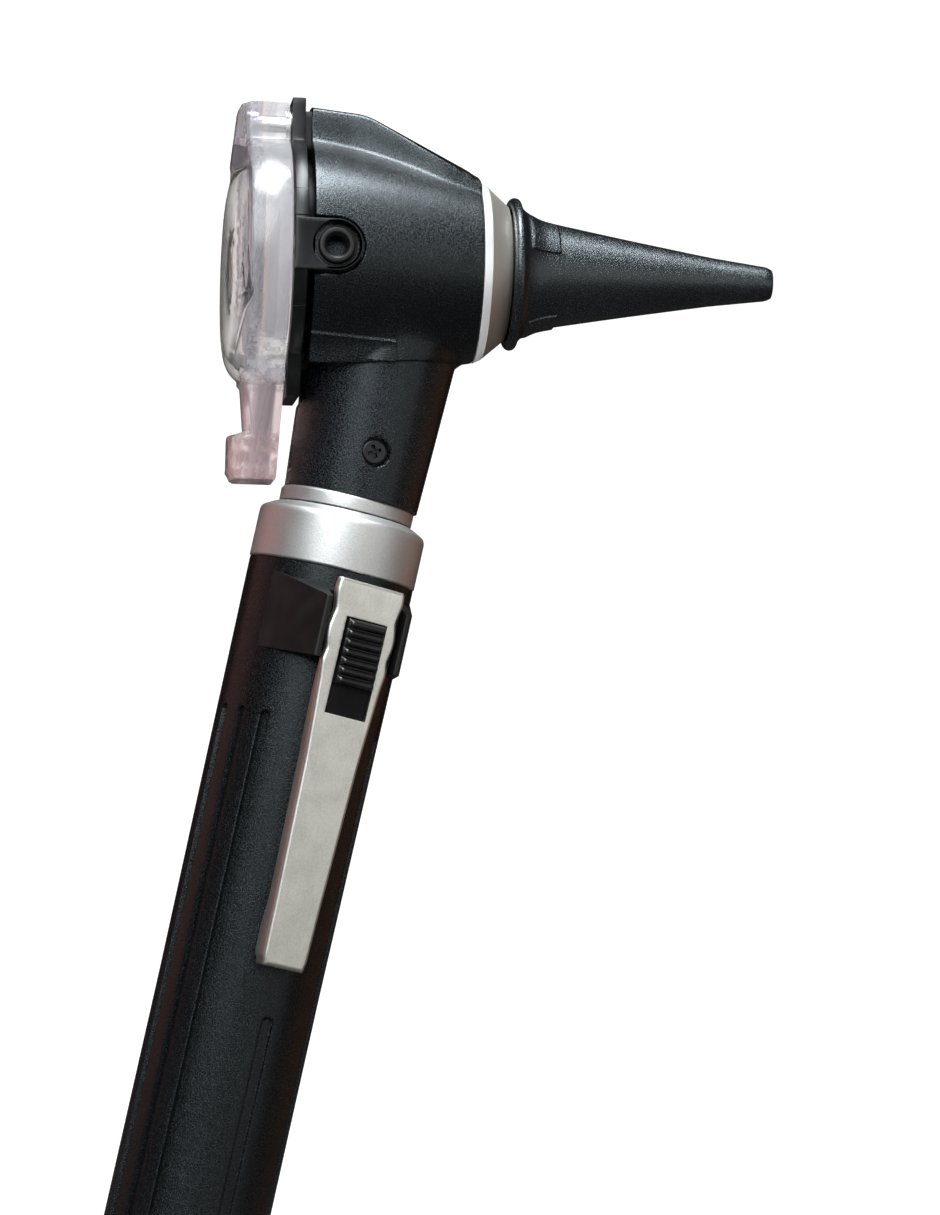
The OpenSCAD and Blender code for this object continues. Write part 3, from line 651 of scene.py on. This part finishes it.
# ------------------------------------------------------------------------- neck
# The grained sleeve over the screw ring's stem. Its top follows the underside of the shell, a flat is cut
# behind for the frame's tab, and two countersunk screws hold it.
NECK_FOOT, NECK_R, SCREW_TURN, SCREW_HEIGHT = 124.32, 8.02, 9.0, 129.7


def head_place(x, y, z):
    """Object frame to head frame, the other way from in_head."""
    along, up = spun(x, z - AXIS_HEIGHT, -TILT)
    return along, y, up


def neck_radius(z):
    """The neck widens evenly from its foot."""
    return NECK_R + 0.0565 * (z - NECK_FOOT)


def neck_top(turn):
    """Height at which each line up the neck meets the shell, found by halving an interval 24 times."""
    low, high = np.full(turn.shape, 130.0), np.full(turn.shape, 147.0)
    for _ in range(24):
        z = (low + high) / 2
        r = neck_radius(z)
        u, side, up = head_place(r * np.sin(turn), -r * np.cos(turn), z)
        up = up - shell_middle(u)
        met = np.hypot(side, up) < shell_radius(np.clip(u, *SHELL), np.arctan2(-side, up))
        low, high = np.where(met, low, z), np.where(met, z, high)
    return low


def neck_points():
    """Radius over angle and height, less the screws' countersinks and a pin hole; the flat behind keeps
    every point in front of the frame's tab. The axis leans back 0.02 mm for each millimetre up."""
    spots = [(SCREW_TURN, 13, 0.8), (SCREW_TURN - 180, 13, 0.8), (-80, 5, 0.6)]
    turn = around(3, *spots, start=-180)[None, :]
    top = neck_top(turn[0])[None, :]
    share = stations(0, 1, 0.06, (0.3, 0.11, 0.009), (0.1, 0.04, 0.02), (0.95, 0.05, 0.008))[:, None]
    z = NECK_FOOT + share * (top - NECK_FOOT)
    radius = neck_radius(z)
    for spin in (0, 180):
        off = np.hypot(wrapped(turn - math.radians(SCREW_TURN + spin)) * 8.3, z - SCREW_HEIGHT)
        radius = radius - 0.75 * (1 - ease(1.5, 1.78, off))
    pin = np.hypot((turn - math.radians(-78)) * 8.1, z - 126.3)
    radius = radius - 0.8 * (1 - ease(0.4, 0.52, pin))
    bore_r, bore_top, level = 5.3, 133.0, 0 * z[:1]
    inner_r, inner_z = [bore_r + level, bore_r + level], [bore_top + level, NECK_FOOT + level]
    radius = np.concatenate([radius[:1] - 0.12, radius, radius[-1:] - 0.4, *inner_r])
    z = np.concatenate([z[:1] - 0.02, z + 0.05 * (share == 0), z[-1:] + 0.12, *inner_z])
    x, y = radius * np.sin(turn) + 0.3 - 0.02 * (z - NECK_FOOT), -radius * np.cos(turn)
    _, _, up = head_place(x, y, z)
    tab_front, tab_foot = -11.55, -16.15
    flat = (tab_front - (z - AXIS_HEIGHT) * math.sin(TILT)) / math.cos(TILT)
    x = np.where(up > tab_foot, np.maximum(x, flat), x)
    return xyz(x, y, z)


neck = neck_points()
# Brighter painted sparkle on the neck's grain peaks, standing in for the glints in its highlight.
neck_black = grained_plastic("neck_black", DEEP_BLACK, (0.012, 0.014, 0.019), GRAIN, 0.000022, 0.29, 0.56)
tube("neck", neck, neck_black, "head", ["neck_cover"], "textured_black", 40)

# ------------------------------------------------------------------ neck screws
# Two small black-oxide machine screws on opposite sides of the neck, countersunk, with a cross recess
# in a flat head.
screw_black = blasted_metal("screw_black", (0.055, 0.055, 0.058), 0.3, 2600.0)


def screw_points(spin):
    """A polar grid over the head: a flat face with a rounded rim, a cross recess cut where a point lies
    within an arm's half width of either diameter, and a cone and shank below."""
    centre, head_r, shank_r = 0.001, 1.5, 0.85
    face = stations(centre, head_r, 0.09, (0.5, 0.5, 0.035), (1.42, 0.06, 0.03))
    r = np.concatenate([face, [head_r, shank_r, shank_r, centre]])[:, None]
    a = np.linspace(0, 2 * np.pi, 144, endpoint=False)[None, :]
    x, y = r * np.cos(a), r * np.sin(a)
    arm = np.minimum(np.abs(x), np.abs(y))
    deep = 0.55 * (1 - ease(0.13, 0.22, arm)) * (1 - ease(0.62, 0.86, r))
    out = 8.02 - deep - 0.12 * ease(1.2, head_r, r) ** 2
    out[len(face):] = np.array([7.8, 7.2, 5.4, 5.4])[:, None]
    x, y = spun(x, y, math.radians(28))
    return xyz(*spun(x, -out, math.radians(SCREW_TURN + spin)), SCREW_HEIGHT + y)


def joined(solids):
    """One mesh, as points and faces, from several."""
    starts = np.cumsum([0] + [points.size // 3 for points, _ in solids])
    return (np.concatenate([points.reshape(-1, 3) for points, _ in solids]),
            np.concatenate([faces + start for (_, faces), start in zip(solids, starts)]))


screws = [screw_points(spin) for spin in (0, 180)]
screws = joined([(screw, quads(*screw.shape[:2])) for screw in screws])
piece("cross_screws", *screws, screw_black, "head", ["neck_screws"], "black_screw")

# --------------------------------------------------------------- eyepiece frame
# A smooth black plate between shell and lens: round like the lens, with a tongue up to the pivot, a tab
# down over the neck, and on both sides a flat ear that runs forward round the insufflation port.
EYE_UP, LENS_R, WINDOW_R = 0.9, 14.2, 9.8


def ray_box(turn, half, reach, spread=0.0, corner=0.05):
    """Distance from the centre to the edge of an upright tongue, turned from the top: it ends at reach,
    half as wide as half there, and grows by spread a side for every millimetre back to the centre. Zero
    in directions that leave it sideways at once."""
    cosine, sine = np.maximum(np.cos(turn), 1e-3), np.maximum(np.abs(np.sin(turn)), 1e-3)
    edge = soft_min(reach / cosine, (half + spread * reach) / (sine + spread * cosine), corner)
    return np.where(np.cos(turn) > 0.05, edge, 0)


def frame_radius(turn):
    """Outline round the eyepiece's centre: the circle, the tongue above, and the tapering tab below; low
    pads stand on both sides above the ears, and a thin line crosses the sides below them."""
    tongue, tab = ray_box(turn, 4.35, 18.5), ray_box(turn + np.pi, 5.2, 17.0, 0.42)
    radius = soft_max(np.maximum(tongue, tab), LENS_R + 0 * turn, 0.35)
    up = LENS_R * np.cos(turn) + EYE_UP
    pad = ease(3.9, 4.0, up) * (1 - ease(7.1, 7.3, up)) * (np.abs(np.sin(turn)) > 0.5)
    return radius + 0.08 * pad - 0.05 * (1 - ease(0.05, 0.14, np.abs(up + 6.3)))


def ringed(turn, rows):
    """Head-frame points for rows of (radius over turn, station), round the eyepiece's centre."""
    radius = np.stack([r + 0 * turn for r, _ in rows])
    station = np.stack([u + 0 * turn for _, u in rows])
    return in_head(station, np.clip(-radius * np.sin(turn), -14.1, 14.1), radius * np.cos(turn) + EYE_UP)


def head_axes(place):
    """Wires of the distance along the viewing axis and of the height over it, in metres."""
    return spun(place.axis("X"), place.axis("Z") - AXIS_HEIGHT / 1000, -TILT)


spots = [(14, 5, 0.4), (164, 14, 0.5), (63, 1, 0.2), (77.5, 1, 0.2), (120.5, 1.5, 0.15), (0, 3, 0.6)]
turn = around(2.0, *both_sides(*spots))
outer = frame_radius(turn)
spigot = np.where((np.cos(turn) > 0) & (outer > 14.6), outer - 1.6, 11.7)
plate = ringed(turn, [
    (outer - 0.14, -13.55), (outer - 0.04, -13.5), (outer, -13.4), (outer, -12.7), (outer, -12.1),
    (outer - 0.04, -12.0), (outer - 0.14, -11.95), (spigot, -11.95), (spigot, -11.22), (12.3, -11.22),
    (12.3, -10.6), (10.9, -10.6), (10.9, -9.6), (9.85, -9.6), (WINDOW_R, -9.7), (WINDOW_R, -13.4),
    (WINDOW_R + 0.15, -13.55)])


def ear_points(side):
    """Rings round the port from the counterbore out to the ear's edge: a half circle in front, straight
    sides behind, back to the plate's rear. The face is flat; the edge turns down with a small round."""
    a = around(3.0, *both_sides((90, 6, 0.8), (140, 12, 1.5)))
    ear_r, bore_r, back, face, behind = 3.02, 2.8, PORT[0] + 13.5, 14.14, 13.1
    straight = np.minimum(ear_r / np.maximum(np.abs(np.sin(a)), 1e-3), back / np.maximum(-np.cos(a), 1e-3))
    edge = np.where(np.cos(a) > 0, ear_r, straight)
    rows = [(edge - 0.4, face), (edge - 0.14, face), (edge - 0.04, face - 0.03), (edge, face - 0.14),
            (edge, behind), (bore_r, behind), (bore_r, face - 0.14), (bore_r + 0.04, face - 0.04),
            (bore_r + 0.15, face)]
    r, out = [np.stack([row[k] + 0 * a for row in rows]) for k in (0, 1)]
    return in_head(PORT[0] + r * np.cos(a), side * out, PORT[1] + r * np.sin(a))


def groove_painted_shade(place):
    """1 on the floor of the groove between plate and shell, a ring within 13 mm of the eyepiece's centre,
    and 0 elsewhere: the place painted as shade, where the plate turns to black metal that sends no light
    back."""
    along, up = head_axes(place)
    return along.step(-0.01194, -0.0119) * place.axis("Y").hypot(up - EYE_UP / 1000).step(0.0132, 0.013)


near, far = ear_points(-1), ear_points(1)
plate_faces, ear_faces = quads(*plate.shape[:2], loop=True), quads(*near.shape[:2], loop=True)
frame_plate = joined([(plate, plate_faces), (near, ear_faces), (far, ear_faces[:, ::-1])])
# frame_grey has painted shade on the floor of the groove between plate and shell: black metal that the lamps
# can't light.
frame_grey = smooth_plastic("frame_grey", (0.003, 0.0033, 0.0036), 0.26, 0.12, 0.32, groove_painted_shade)
piece("frame_plate", *frame_plate, frame_grey, "head", ["eyepiece_frame"], "smooth_black", 38)

# ------------------------------------------------------------- insufflation port
# A short black nipple with a rounded lip and an open bore, set in the near ear. Air from a hand bulb
# goes in here.
sine, cosine, out = lathe(rounded([
    [1.45, 9.5], [2.4, 9.5], [2.4, 13.1], [2.12, 13.1], [2.12, 13.9], [1.5, 13.9], [1.1, 13.45], [1.1, 12.0],
    [1.45, 11.6]], [0.05, 0.05, 0.05, 0.05, 0.28, 0.12, 0.12, 0.1, 0.1], 6, loop=True), 96)
nipple = in_head(PORT[0] + cosine, -out, PORT[1] + sine)
tube("nipple", nipple, smooth_abs, "head", ["insufflation_port"], "smooth_black")

# ---------------------------------------------------------------- speculum seat
# The nose's metal ring: a bright polished bevel next to the shell, then a satin cone that the speculum
# slides over.


def seat_finish():
    """One turned part with two finishes: polished up to the edge of the bevel, then satin and warmer on
    the cone."""
    finish, place = new_finish("seat_metal")
    satin = head_axes(place)[0].step(0.00988, 0.00998)
    beads = place.noise(5200.0, 2.0)
    bump = (beads * satin).bump(1.0, 0.00003)
    coat(place, Base_Color=satin.between((0.88, 0.88, 0.88), (0.86, 0.81, 0.73)), Metallic=0.5 + satin * 0.5,
         Roughness=0.3 + satin * 0.12 + beads * 0.05, Normal=bump)
    return finish


sine, cosine, station = lathe(rounded([
    [7.6, 7.4], [9.28, 7.4], [9.28, 8.93], [10.72, 8.93], [10.8, 9.05], [10.35, 9.95], [8.05, 12.6],
    [7.6, 12.6]], [0.1, 0.1, 0.1, 0.05, 0.07, 0.1, 0.12, 0.1], loop=True))
tube("seat", in_head(station, -sine, cosine), seat_finish(), "head", ["speculum_seat"], "seat_metal")

# --------------------------------------------------------------------- speculum
# The cone that goes in the ear: thin black moulded plastic with a rounded tip, a rolled flange, and three
# shallow pads just in front of the flange for the fingers that twist it on.
SPECULUM = rounded([
    [7.5, 13.1], [8.2, 12.75], [8.75, 12.78], [9.05, 13.1], [9.12, 13.5], [8.95, 13.95], [8.25, 14.15],
    [7.75, 14.55], [7.15, 15.45], [6.6, 16.6], [6.18, 18.5], [5.2, 24.0], [4.52, 27.9], [3.27, 35.4],
    [2.92, 37.56], [2.05, 44.3], [1.72, 44.95], [1.5, 44.9], [1.5, 44.0], [2.7, 35.4], [3.95, 27.9],
    [5.45, 18.75], [7.05, 14.9], [7.5, 13.65]],
    [0.1, 0.2, 0.3, 0.3, 0.3, 0.25, 0.25, 0.3, 0.5, 0.7, 0.8, 2,
     1.5, 1, 1, 0.5, 0.16, 0.1, 0.3, 1, 1, 1, 0.5, 0.3], 5, loop=True)
PADS, PAD_HALF, PAD_ENDS = (40.5, -79.5, 160.5), 23.5, (14.75, 19.4)


def speculum_points():
    """The outline turned about the viewing axis, with more rows over the pads; a pad raises the outer wall
    by 0.24 mm within 23.5 degrees of its middle, with steep sides and front, and fades out behind."""
    extra = stations(*PAD_ENDS, 0.16, (18.55, 0.15, 0.05))
    to_a_corner = 6
    wall = SPECULUM[6 * to_a_corner:13 * to_a_corner]
    lift = np.interp(extra, wall[:, 1], wall[:, 0])
    first, last = [np.argmax(SPECULUM[:, 1] > end) for end in PAD_ENDS]
    before = SPECULUM[:first]
    outline = np.concatenate([before, np.stack([lift, extra], 1), SPECULUM[last:]])
    edges = [(pad + side * PAD_HALF) % 360 for pad in PADS for side in (-1, 1)]
    a = around(2.5, *[(edge, 1.2, 0.3) for edge in edges])
    r, u = outline[:, :1] + 0 * a, outline[:, 1:] + 0 * a
    on_wall = np.zeros(len(outline), bool)
    on_wall[len(before):len(before) + len(extra)] = True
    for pad in PADS:
        off = np.abs(wrapped(a - math.radians(pad))) - math.radians(PAD_HALF)
        side = 1 - ease(-0.06, 0.06, off * 6.6)
        r = r + 0.24 * side * (1 - ease(18.42, 18.62, u)) * ease(14.7, 15.4, u) * on_wall[:, None]
    return in_head(u, -r * np.cos(a), r * np.sin(a))


# Painted sparkle on the speculum's grain peaks, as on the other grained blacks.
speculum_black = grained_plastic(
    "speculum_black", (0.001, 0.0011, 0.0015), (0.009, 0.010, 0.013), GRAIN, 0.000016, 0.32, 1.0)
tube("cone", speculum_points(), speculum_black, "speculum", ["speculum"], "speculum_plastic", 32)

# -------------------------------------------------------------------- swing lens
# Clear acrylic in one moulding: a magnifier in a deep rim, a boss over the pivot, and a thumb tab that
# ends in a raised foot. It swings sideways about the pivot.
GLASS_UP = -1.35
DOME = rounded([[0, -21.12], [5, -21.07], [8.2, -20.96], [10.2, -20.66], [11.3, -20.24], [12.1, -19.7],
                [12.6, -19.1], [12.85, -18.6], [12.9, -17.5], [30, -17.4]],
               [1, 2, 1.5, 1, 0.6, 0.4, 0.3, 0.2, 0.1, 0.1])


def lens_radius(turn):
    """Outline round the frame's centre: the rim with its tapering chin, the boss above, and the long
    thumb tab below."""
    boss, tab = ray_box(turn, 4.2, 17.9, 0, 0.3), ray_box(turn + np.pi, 4.0, 26.75, 0, 1.2)
    chin = ray_box(turn + np.pi, 5.0, 15.6, 0.5, 0.5)
    return soft_max(soft_max(np.maximum(boss, chin), LENS_R + 0 * turn, 0.4), tab, 0.3)


def lens_back(side, up, inset):
    """Station of the rear face. The magnifier's dome sits a little low in the rim, whose edge is rounded
    off over the inset from the outline. A groove runs round it, and a crowned ridge up the middle of the
    boss; the tab thins as it goes down, is crowned too, and ends in a thick foot with a rippled end."""
    off = np.hypot(side, up - GLASS_UP)
    dome = np.interp(off, DOME[:, 0], DOME[:, 1])
    station = soft_min(dome, -18.4 - 0.5 * ease(0, 0.9, inset), 0.12)
    station = station + 0.45 * np.exp(-((off - 13.0) / 0.16) ** 2)
    boss = np.interp(up, [9, 11.8, 14.2, 15.4, 18.0, 18.5, 18.8],
                     [-20.8, -20.45, -20.2, -20.05, -19.8, -19.5, -18.9])
    station = station + (boss - station) * ease(8.0, 12.0, up) * (1 - ease(2.0, 4.1, np.abs(side)))
    crown = (np.minimum(np.abs(side), 4) / 4) ** 3
    tab = -18.75 - 0.09 * (up + 14.5) + 0.8 * crown
    foot = -20.15 + 0.5 * crown + 1.1 * ease(24.3, 26.2, -up) ** 2
    foot = foot + 0.16 * np.sin(7 * up + 5 * side) * ease(24.3, 25.2, -up)
    tab = tab + (foot - tab) * ease(20.45, 20.75, -up)
    return station + (tab - station) * ease(14.2, 14.9, -up) * (1 - ease(4.0, 4.5, np.abs(side)))


def lens_points():
    """A polar grid in rings: the rear face out to the outline, the side, the front rim, and the hollow in
    front of the magnifier."""
    turn = around(2.0, *both_sides((13, 8, 0.5), (163, 4, 0.4), (171.5, 4, 0.3)))[None, :]
    outer = lens_radius(turn)
    centre, dome_r = 0.001, 13.2
    inner = np.concatenate([[centre], stations(1.0, dome_r, 0.9, (12.3, 0.8, 0.15))])[:, None] + 0 * turn
    share = stations(0, 1, 0.045, (0.64, 0.02, 0.009))[1:, None]
    rho = np.concatenate([inner, dome_r + (outer - 0.42 - dome_r) * share])
    side, up = rho * np.sin(turn), rho * np.cos(turn) + EYE_UP
    station = lens_back(side, up, outer - rho)
    edge = station[-1:]
    front = -13.7 - 0.06 * np.maximum(outer - 15.6, 0)
    rows = [(outer - 0.2, edge + 0.07), (outer - 0.06, edge + 0.2), (outer, edge + 0.4),
            (outer, (edge + front) / 2), (outer, front - 0.3), (outer - 0.1, front - 0.1),
            (outer - 0.3, front), (12.3, -13.7), (12.1, -13.9), (11.6, -16.6), (11.2, -17.1), (6, -17.35),
            (centre, -17.4)]
    rho = np.concatenate([rho, *[row[0] + 0 * edge for row in rows]])
    station = np.concatenate([station, *[row[1] + 0 * edge for row in rows]])
    return in_head(station, -rho * np.sin(turn), rho * np.cos(turn) + EYE_UP)


def clear_acrylic():
    """Clear acrylic with a breath of pink. The dome is polished. The rim, the boss and the tab are as
    moulded:
    fine streaks up and down them and a touch of haze that catches light; the outside of the rim is the
    dullest. Their colour holds painted light and shade: bands along the rim (dark purple, cream, grey) and
    across the tab (pink, near black) for what is seen refracted through the wall, white stripes as painted
    highlights near the frame and by the tab's rear edge, and dark pink blotches as painted shade in the foot."""
    finish, place = new_finish("clear_acrylic")
    along, up = head_axes(place)
    side = place.axis("Y")
    middle, outer = up - GLASS_UP / 1000, up - EYE_UP / 1000
    moulded = side.hypot(middle).step(0.0127, 0.0131)
    moulded = moulded.math("MAXIMUM", along.step(-0.0186, -0.0182))
    dull = side.hypot(outer).step(0.01395, 0.01415) * moulded
    low = up.step(-0.0125, -0.0150)
    drawn = place.node("Mapping", {}, {"Vector": place, "Scale": (2600.0, 2600.0, 130.0)})
    streaks, fine = drawn.noise(1.0, 2.0), place.noise(3600.0, 2.0)
    broken = up.step(-0.0238, -0.0252) * place.noise(700.0, 3.0)
    flaws_and_painted_shade = place.noise(800.0, 2.0).step(0.42, 0.58)
    mottle = up.step(-0.008, -0.0105) * up.step(-0.0155, -0.0140) * flaws_and_painted_shade * moulded
    bump = ((streaks * 0.9 + fine * 0.1) * moulded + broken * 9.0 + mottle * 2.0).bump(0.4, 0.00004)
    depth = along + streaks * 0.0004
    # Painted light and shade along the rim: bands that stand in for the refracted light seen through the
    # wall, white near the frame as a painted highlight.
    painted_light_bands = depth.step(-0.0182, -0.0138).ramp(
        (0.0, (0.30, 0.26, 0.33)), (0.22, (0.20, 0.17, 0.24)), (0.27, (0.86, 0.68, 0.60)),
        (0.38, (0.84, 0.72, 0.66)), (0.45, (0.62, 0.61, 0.63)), (0.75, (0.72, 0.72, 0.74)),
        (0.82, (1.0, 1.0, 1.0)))
    # Painted light and shade across the tab: a white stripe as a painted edge highlight near its rear face,
    # and deep painted shade in its body.
    tab_painted_light_bands = ((depth - up * 0.054 + 0.0186) * (1 / 0.0056)).ramp(
        (0.0, (0.56, 0.32, 0.31)), (0.28, (0.66, 0.40, 0.40)), (0.33, (1.0, 1.0, 1.0)),
        (0.37, (1.0, 1.0, 1.0)), (0.42, (0.72, 0.56, 0.60)), (0.54, (0.22, 0.17, 0.20)),
        (0.86, (0.10, 0.07, 0.09)), (0.92, (1.0, 0.86, 0.86)))
    body = low.between(painted_light_bands, tab_painted_light_bands)
    # Painted shade: dark pink blotches in the foot; the same noise also roughens the surface.
    body = (up.step(-0.0200, -0.0208) * flaws_and_painted_shade).between(body, (0.34, 0.20, 0.20))
    clear = place.node("BsdfPrincipled", {}, {
        "Base Color": moulded.between((0.93, 0.91, 0.87), body), "Transmission Weight": 1.0, "IOR": 1.49,
        "Roughness": 0.01 + moulded * 0.03 + dull * (0.12 + streaks * 0.12), "Normal": bump})
    haze = place.node("BsdfPrincipled", {}, {
        "Base Color": low.between((0.88, 0.89, 0.9), (0.86, 0.7, 0.71)), "Roughness": 0.3, "Normal": bump})
    share = 0.01 + moulded * 0.04 + mottle * 0.12 + dull * (streaks * 0.16 + 0.04)
    place.node("OutputMaterial", {}, {"Surface": place.node("MixShader", {}, {0: share, 1: clear, 2: haze})})
    return finish


lens = lens_points()
piece("magnifier", lens, quads(*lens.shape[:2]), clear_acrylic(), "lens", ["swing_lens"], "clear_acrylic", 40)

# ---------------------------------------------------- parts inside, as in the CAD
# Cells, contacts, lamp, light guide and fixings keep their CAD shapes and get their real finishes:
# nickel plate, brass, moulded plastic, printed sleeves, glass and glass fibre.


def plated(name, colour, rough):
    """Plated metal: even, with a faint orange peel and a few dull spots."""
    finish, place = new_finish(name)
    peel = place.noise(900.0, 2.0)
    spots = place.noise(2200.0, 3.0).step(0.6, 0.75)
    bump = peel.bump(0.3, 0.00002)
    dull = tuple(0.7 * c for c in colour)
    coat(place, Base_Color=(spots * 0.6).between(colour, dull), Metallic=1.0,
         Roughness=rough + spots * 0.2, Normal=bump)
    return finish


def cell_sleeve():
    """A dry cell's shrink sleeve: plain slate blue with a lighter band at each end."""
    finish, place = new_finish("cell_sleeve")
    height = place.axis("Z")
    saw = (height - 0.0101).math("PINGPONG", 0.02525)
    band = saw.step(0.0022, 0.0026)
    smear = place.noise(500.0, 2.0)
    coat(place, Base_Color=band.between((0.62, 0.63, 0.64), (0.10, 0.16, 0.24)), Roughness=0.3 + smear * 0.15)
    return finish


def fibre_ends():
    """Packed glass fibres: pale cells in a darker resin."""
    finish, place = new_finish("fibre_ends")
    cells = place.node("TexVoronoi", {}, {"Vector": place, "Scale": 9000.0}, "Distance")
    tone = cells.step(0.2, 0.6).between((0.86, 0.92, 0.94), (0.30, 0.34, 0.36))
    coat(place, Base_Color=tone, Roughness=0.25 + cells * 0.2, Transmission_Weight=0.4, IOR=1.5)
    return finish


def lamp_glass():
    """Clear lamp glass over a bright metal base, told apart by height."""
    finish, place = new_finish("lamp_glass")
    height = place.axis("Z")
    glass = height.step(0.1342, 0.1344)
    haze = place.noise(700.0, 2.0)
    coat(place, Base_Color=glass.between((0.72, 0.6, 0.38), (0.95, 0.93, 0.86)), Metallic=1.0 - glass,
         Roughness=0.32 - glass * 0.2 + haze * 0.06, Transmission_Weight=0.5)
    return finish


nickel = plated("nickel", (0.72, 0.71, 0.68), 0.18)
brass = plated("brass", (0.76, 0.56, 0.27), 0.24)
holder_white = smooth_plastic("holder_white", (0.55, 0.52, 0.45), 0.45)
inner_black = smooth_plastic("inner_black", (0.012, 0.012, 0.013), 0.5)
KEPT = [
    (nickel, ["battery_tube", "battery_spring", "clip_rivet", "pin_spring", "spring_washer", "pivot_screw"]),
    (brass, ["switch_contact", "contact_strip", "contact_pin"]), (holder_white, ["lamp_holder"]),
    (inner_black, ["nose_tube"]), (cell_sleeve(), ["battery_lower", "battery_upper"]),
    (lamp_glass(), ["lamp"]), (fibre_ends(), ["light_guide"]),
]
for finish, nodes in KEPT:
    for node in nodes:
        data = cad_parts[node].data
        data.materials.clear()
        data.materials.append(finish)

# ------------------------------------------------------- table, light and camera
# A plain pale floor that curves up behind, a large lamp above, two in front, a weak warm one on each
# side, and an even surround.


def ray_kind(place, kind):
    """1 for rays of one kind, such as Camera, and 0 for the rest."""
    return place.node("LightPath", output=f"Is {kind} Ray")


WARM_WHITE = (1.0, 0.985, 0.98)


def studio_white():
    """Pale sheet: plain diffuse for light and shadow, duller in reflections, with a glow added for the
    camera, and a weaker one for what is seen through glass. The glow is less under the otoscope, where
    the lamps are enough to read as white and its shadow has to show."""
    finish, place = new_finish("studio_white")
    x, y = [place.axis(name) for name in "XY"]
    away = x.hypot(y).step(0.15, 0.9, 0.55, 0.95)
    glow = ray_kind(place, "Camera") * away + ray_kind(place, "Transmission") * 0.75
    coat(place, Base_Color=ray_kind(place, "Glossy").between((0.55, 0.53, 0.52), (0.035, 0.032, 0.03)),
         Roughness=0.9, Emission_Color=glow.between((0, 0, 0), WARM_WHITE), Emission_Strength=1.0)
    return finish


bend, bend_r, bend_start, floor = np.linspace(0, np.pi / 2, 25), 0.8, 1.0, -0.0005
curve = np.stack([bend_start + bend_r * np.sin(bend), floor + bend_r * (1 - np.cos(bend))], 1)
sweep = np.concatenate([[[-2.2, floor]], curve, [[bend_start + bend_r, 3.2]]])
half_width = np.array([[-3.2, 3.2]])
sheet = xyz(half_width, sweep[:, :1], sweep[:, 1:])
mesh = bpy.data.meshes.new("studio_sheet")
faces = quads(len(sweep), 2)[::2]
mesh.from_pydata(sheet.reshape(-1, 3).tolist(), [], faces.tolist())
mesh.shade_smooth()
mesh.materials.append(studio_white())
placed("studio_sheet", mesh)

world = bpy.data.worlds.new("surround")
bpy.context.scene.world = world
world.use_nodes = True
background = world.node_tree.nodes["Background"]
background.inputs["Strength"].default_value = 1.0
seen = Wire(world.node_tree.nodes.new("ShaderNodeLightPath").outputs["Is Camera Ray"])
sky = (seen + ray_kind(seen, "Transmission") * 0.42).between((0.042, 0.041, 0.041), WARM_WHITE)
world.node_tree.links.new(sky.socket, background.inputs["Color"])


def facing(place, target, roll=0.0):
    """Matrix of a camera or lamp at place that looks at target, turned by roll about its own axis."""
    back = np.asarray(place, float) - target
    back /= np.linalg.norm(back)
    right = np.cross([0, 0, 1], back)
    right /= np.linalg.norm(right)
    turn = np.stack([*spun(right, np.cross(back, right), -roll), back], 1)
    return Matrix.Translation(place) @ Matrix(turn.tolist()).to_4x4()


def towards(azimuth, elevation):
    """Unit vector from the otoscope: azimuth 0 is the near side (-Y), positive to the speculum's side."""
    a, e = math.radians(azimuth), math.radians(elevation)
    return np.array([math.sin(a) * math.cos(e), -math.cos(a) * math.cos(e), math.sin(e)])


def lamp(name, azimuth, elevation, distance, wide, high, glow, colour):
    """A soft oblong lamp that faces the head; glow is its brightness as a surface."""
    light = bpy.data.lights.new(name, "AREA")
    light.shape, light.size, light.size_y, light.color = "RECTANGLE", wide, high, colour
    light.energy = glow * math.pi * wide * high
    heart = np.array([0.005, 0.0, 0.125])
    placed(name, light).matrix_world = facing(heart + towards(azimuth, elevation) * distance, heart)


lamp("ceiling", -26, 72, 0.8, 0.32, 0.5, 29.0, (0.92, 0.97, 1.0))
lamp("window", -19, 25, 0.8, 0.48, 0.55, 5.8, (0.94, 0.98, 1.0))
lamp("right", 42, 12, 0.9, 0.9, 0.6, 0.8, (1.0, 0.985, 0.95))
lamp("desk_left", -112, -5, 0.9, 0.7, 0.7, 0.58, (1.0, 0.45, 0.42))
lamp("desk_right", 112, 0, 0.9, 0.7, 0.7, 0.22, (1.0, 0.42, 0.2))

aim = np.array([0.016956, 0.0, 0.115115])
camera = placed("camera", bpy.data.cameras.new("camera"))
camera.data.sensor_fit, camera.data.sensor_width, camera.data.lens = "HORIZONTAL", 36.0, 145.1069
camera.matrix_world = facing(aim + towards(-6, -4.6) * 0.45, aim, math.radians(12.494))
bpy.context.scene.camera = camera
bpy.context.scene.view_settings.view_transform = "Standard"
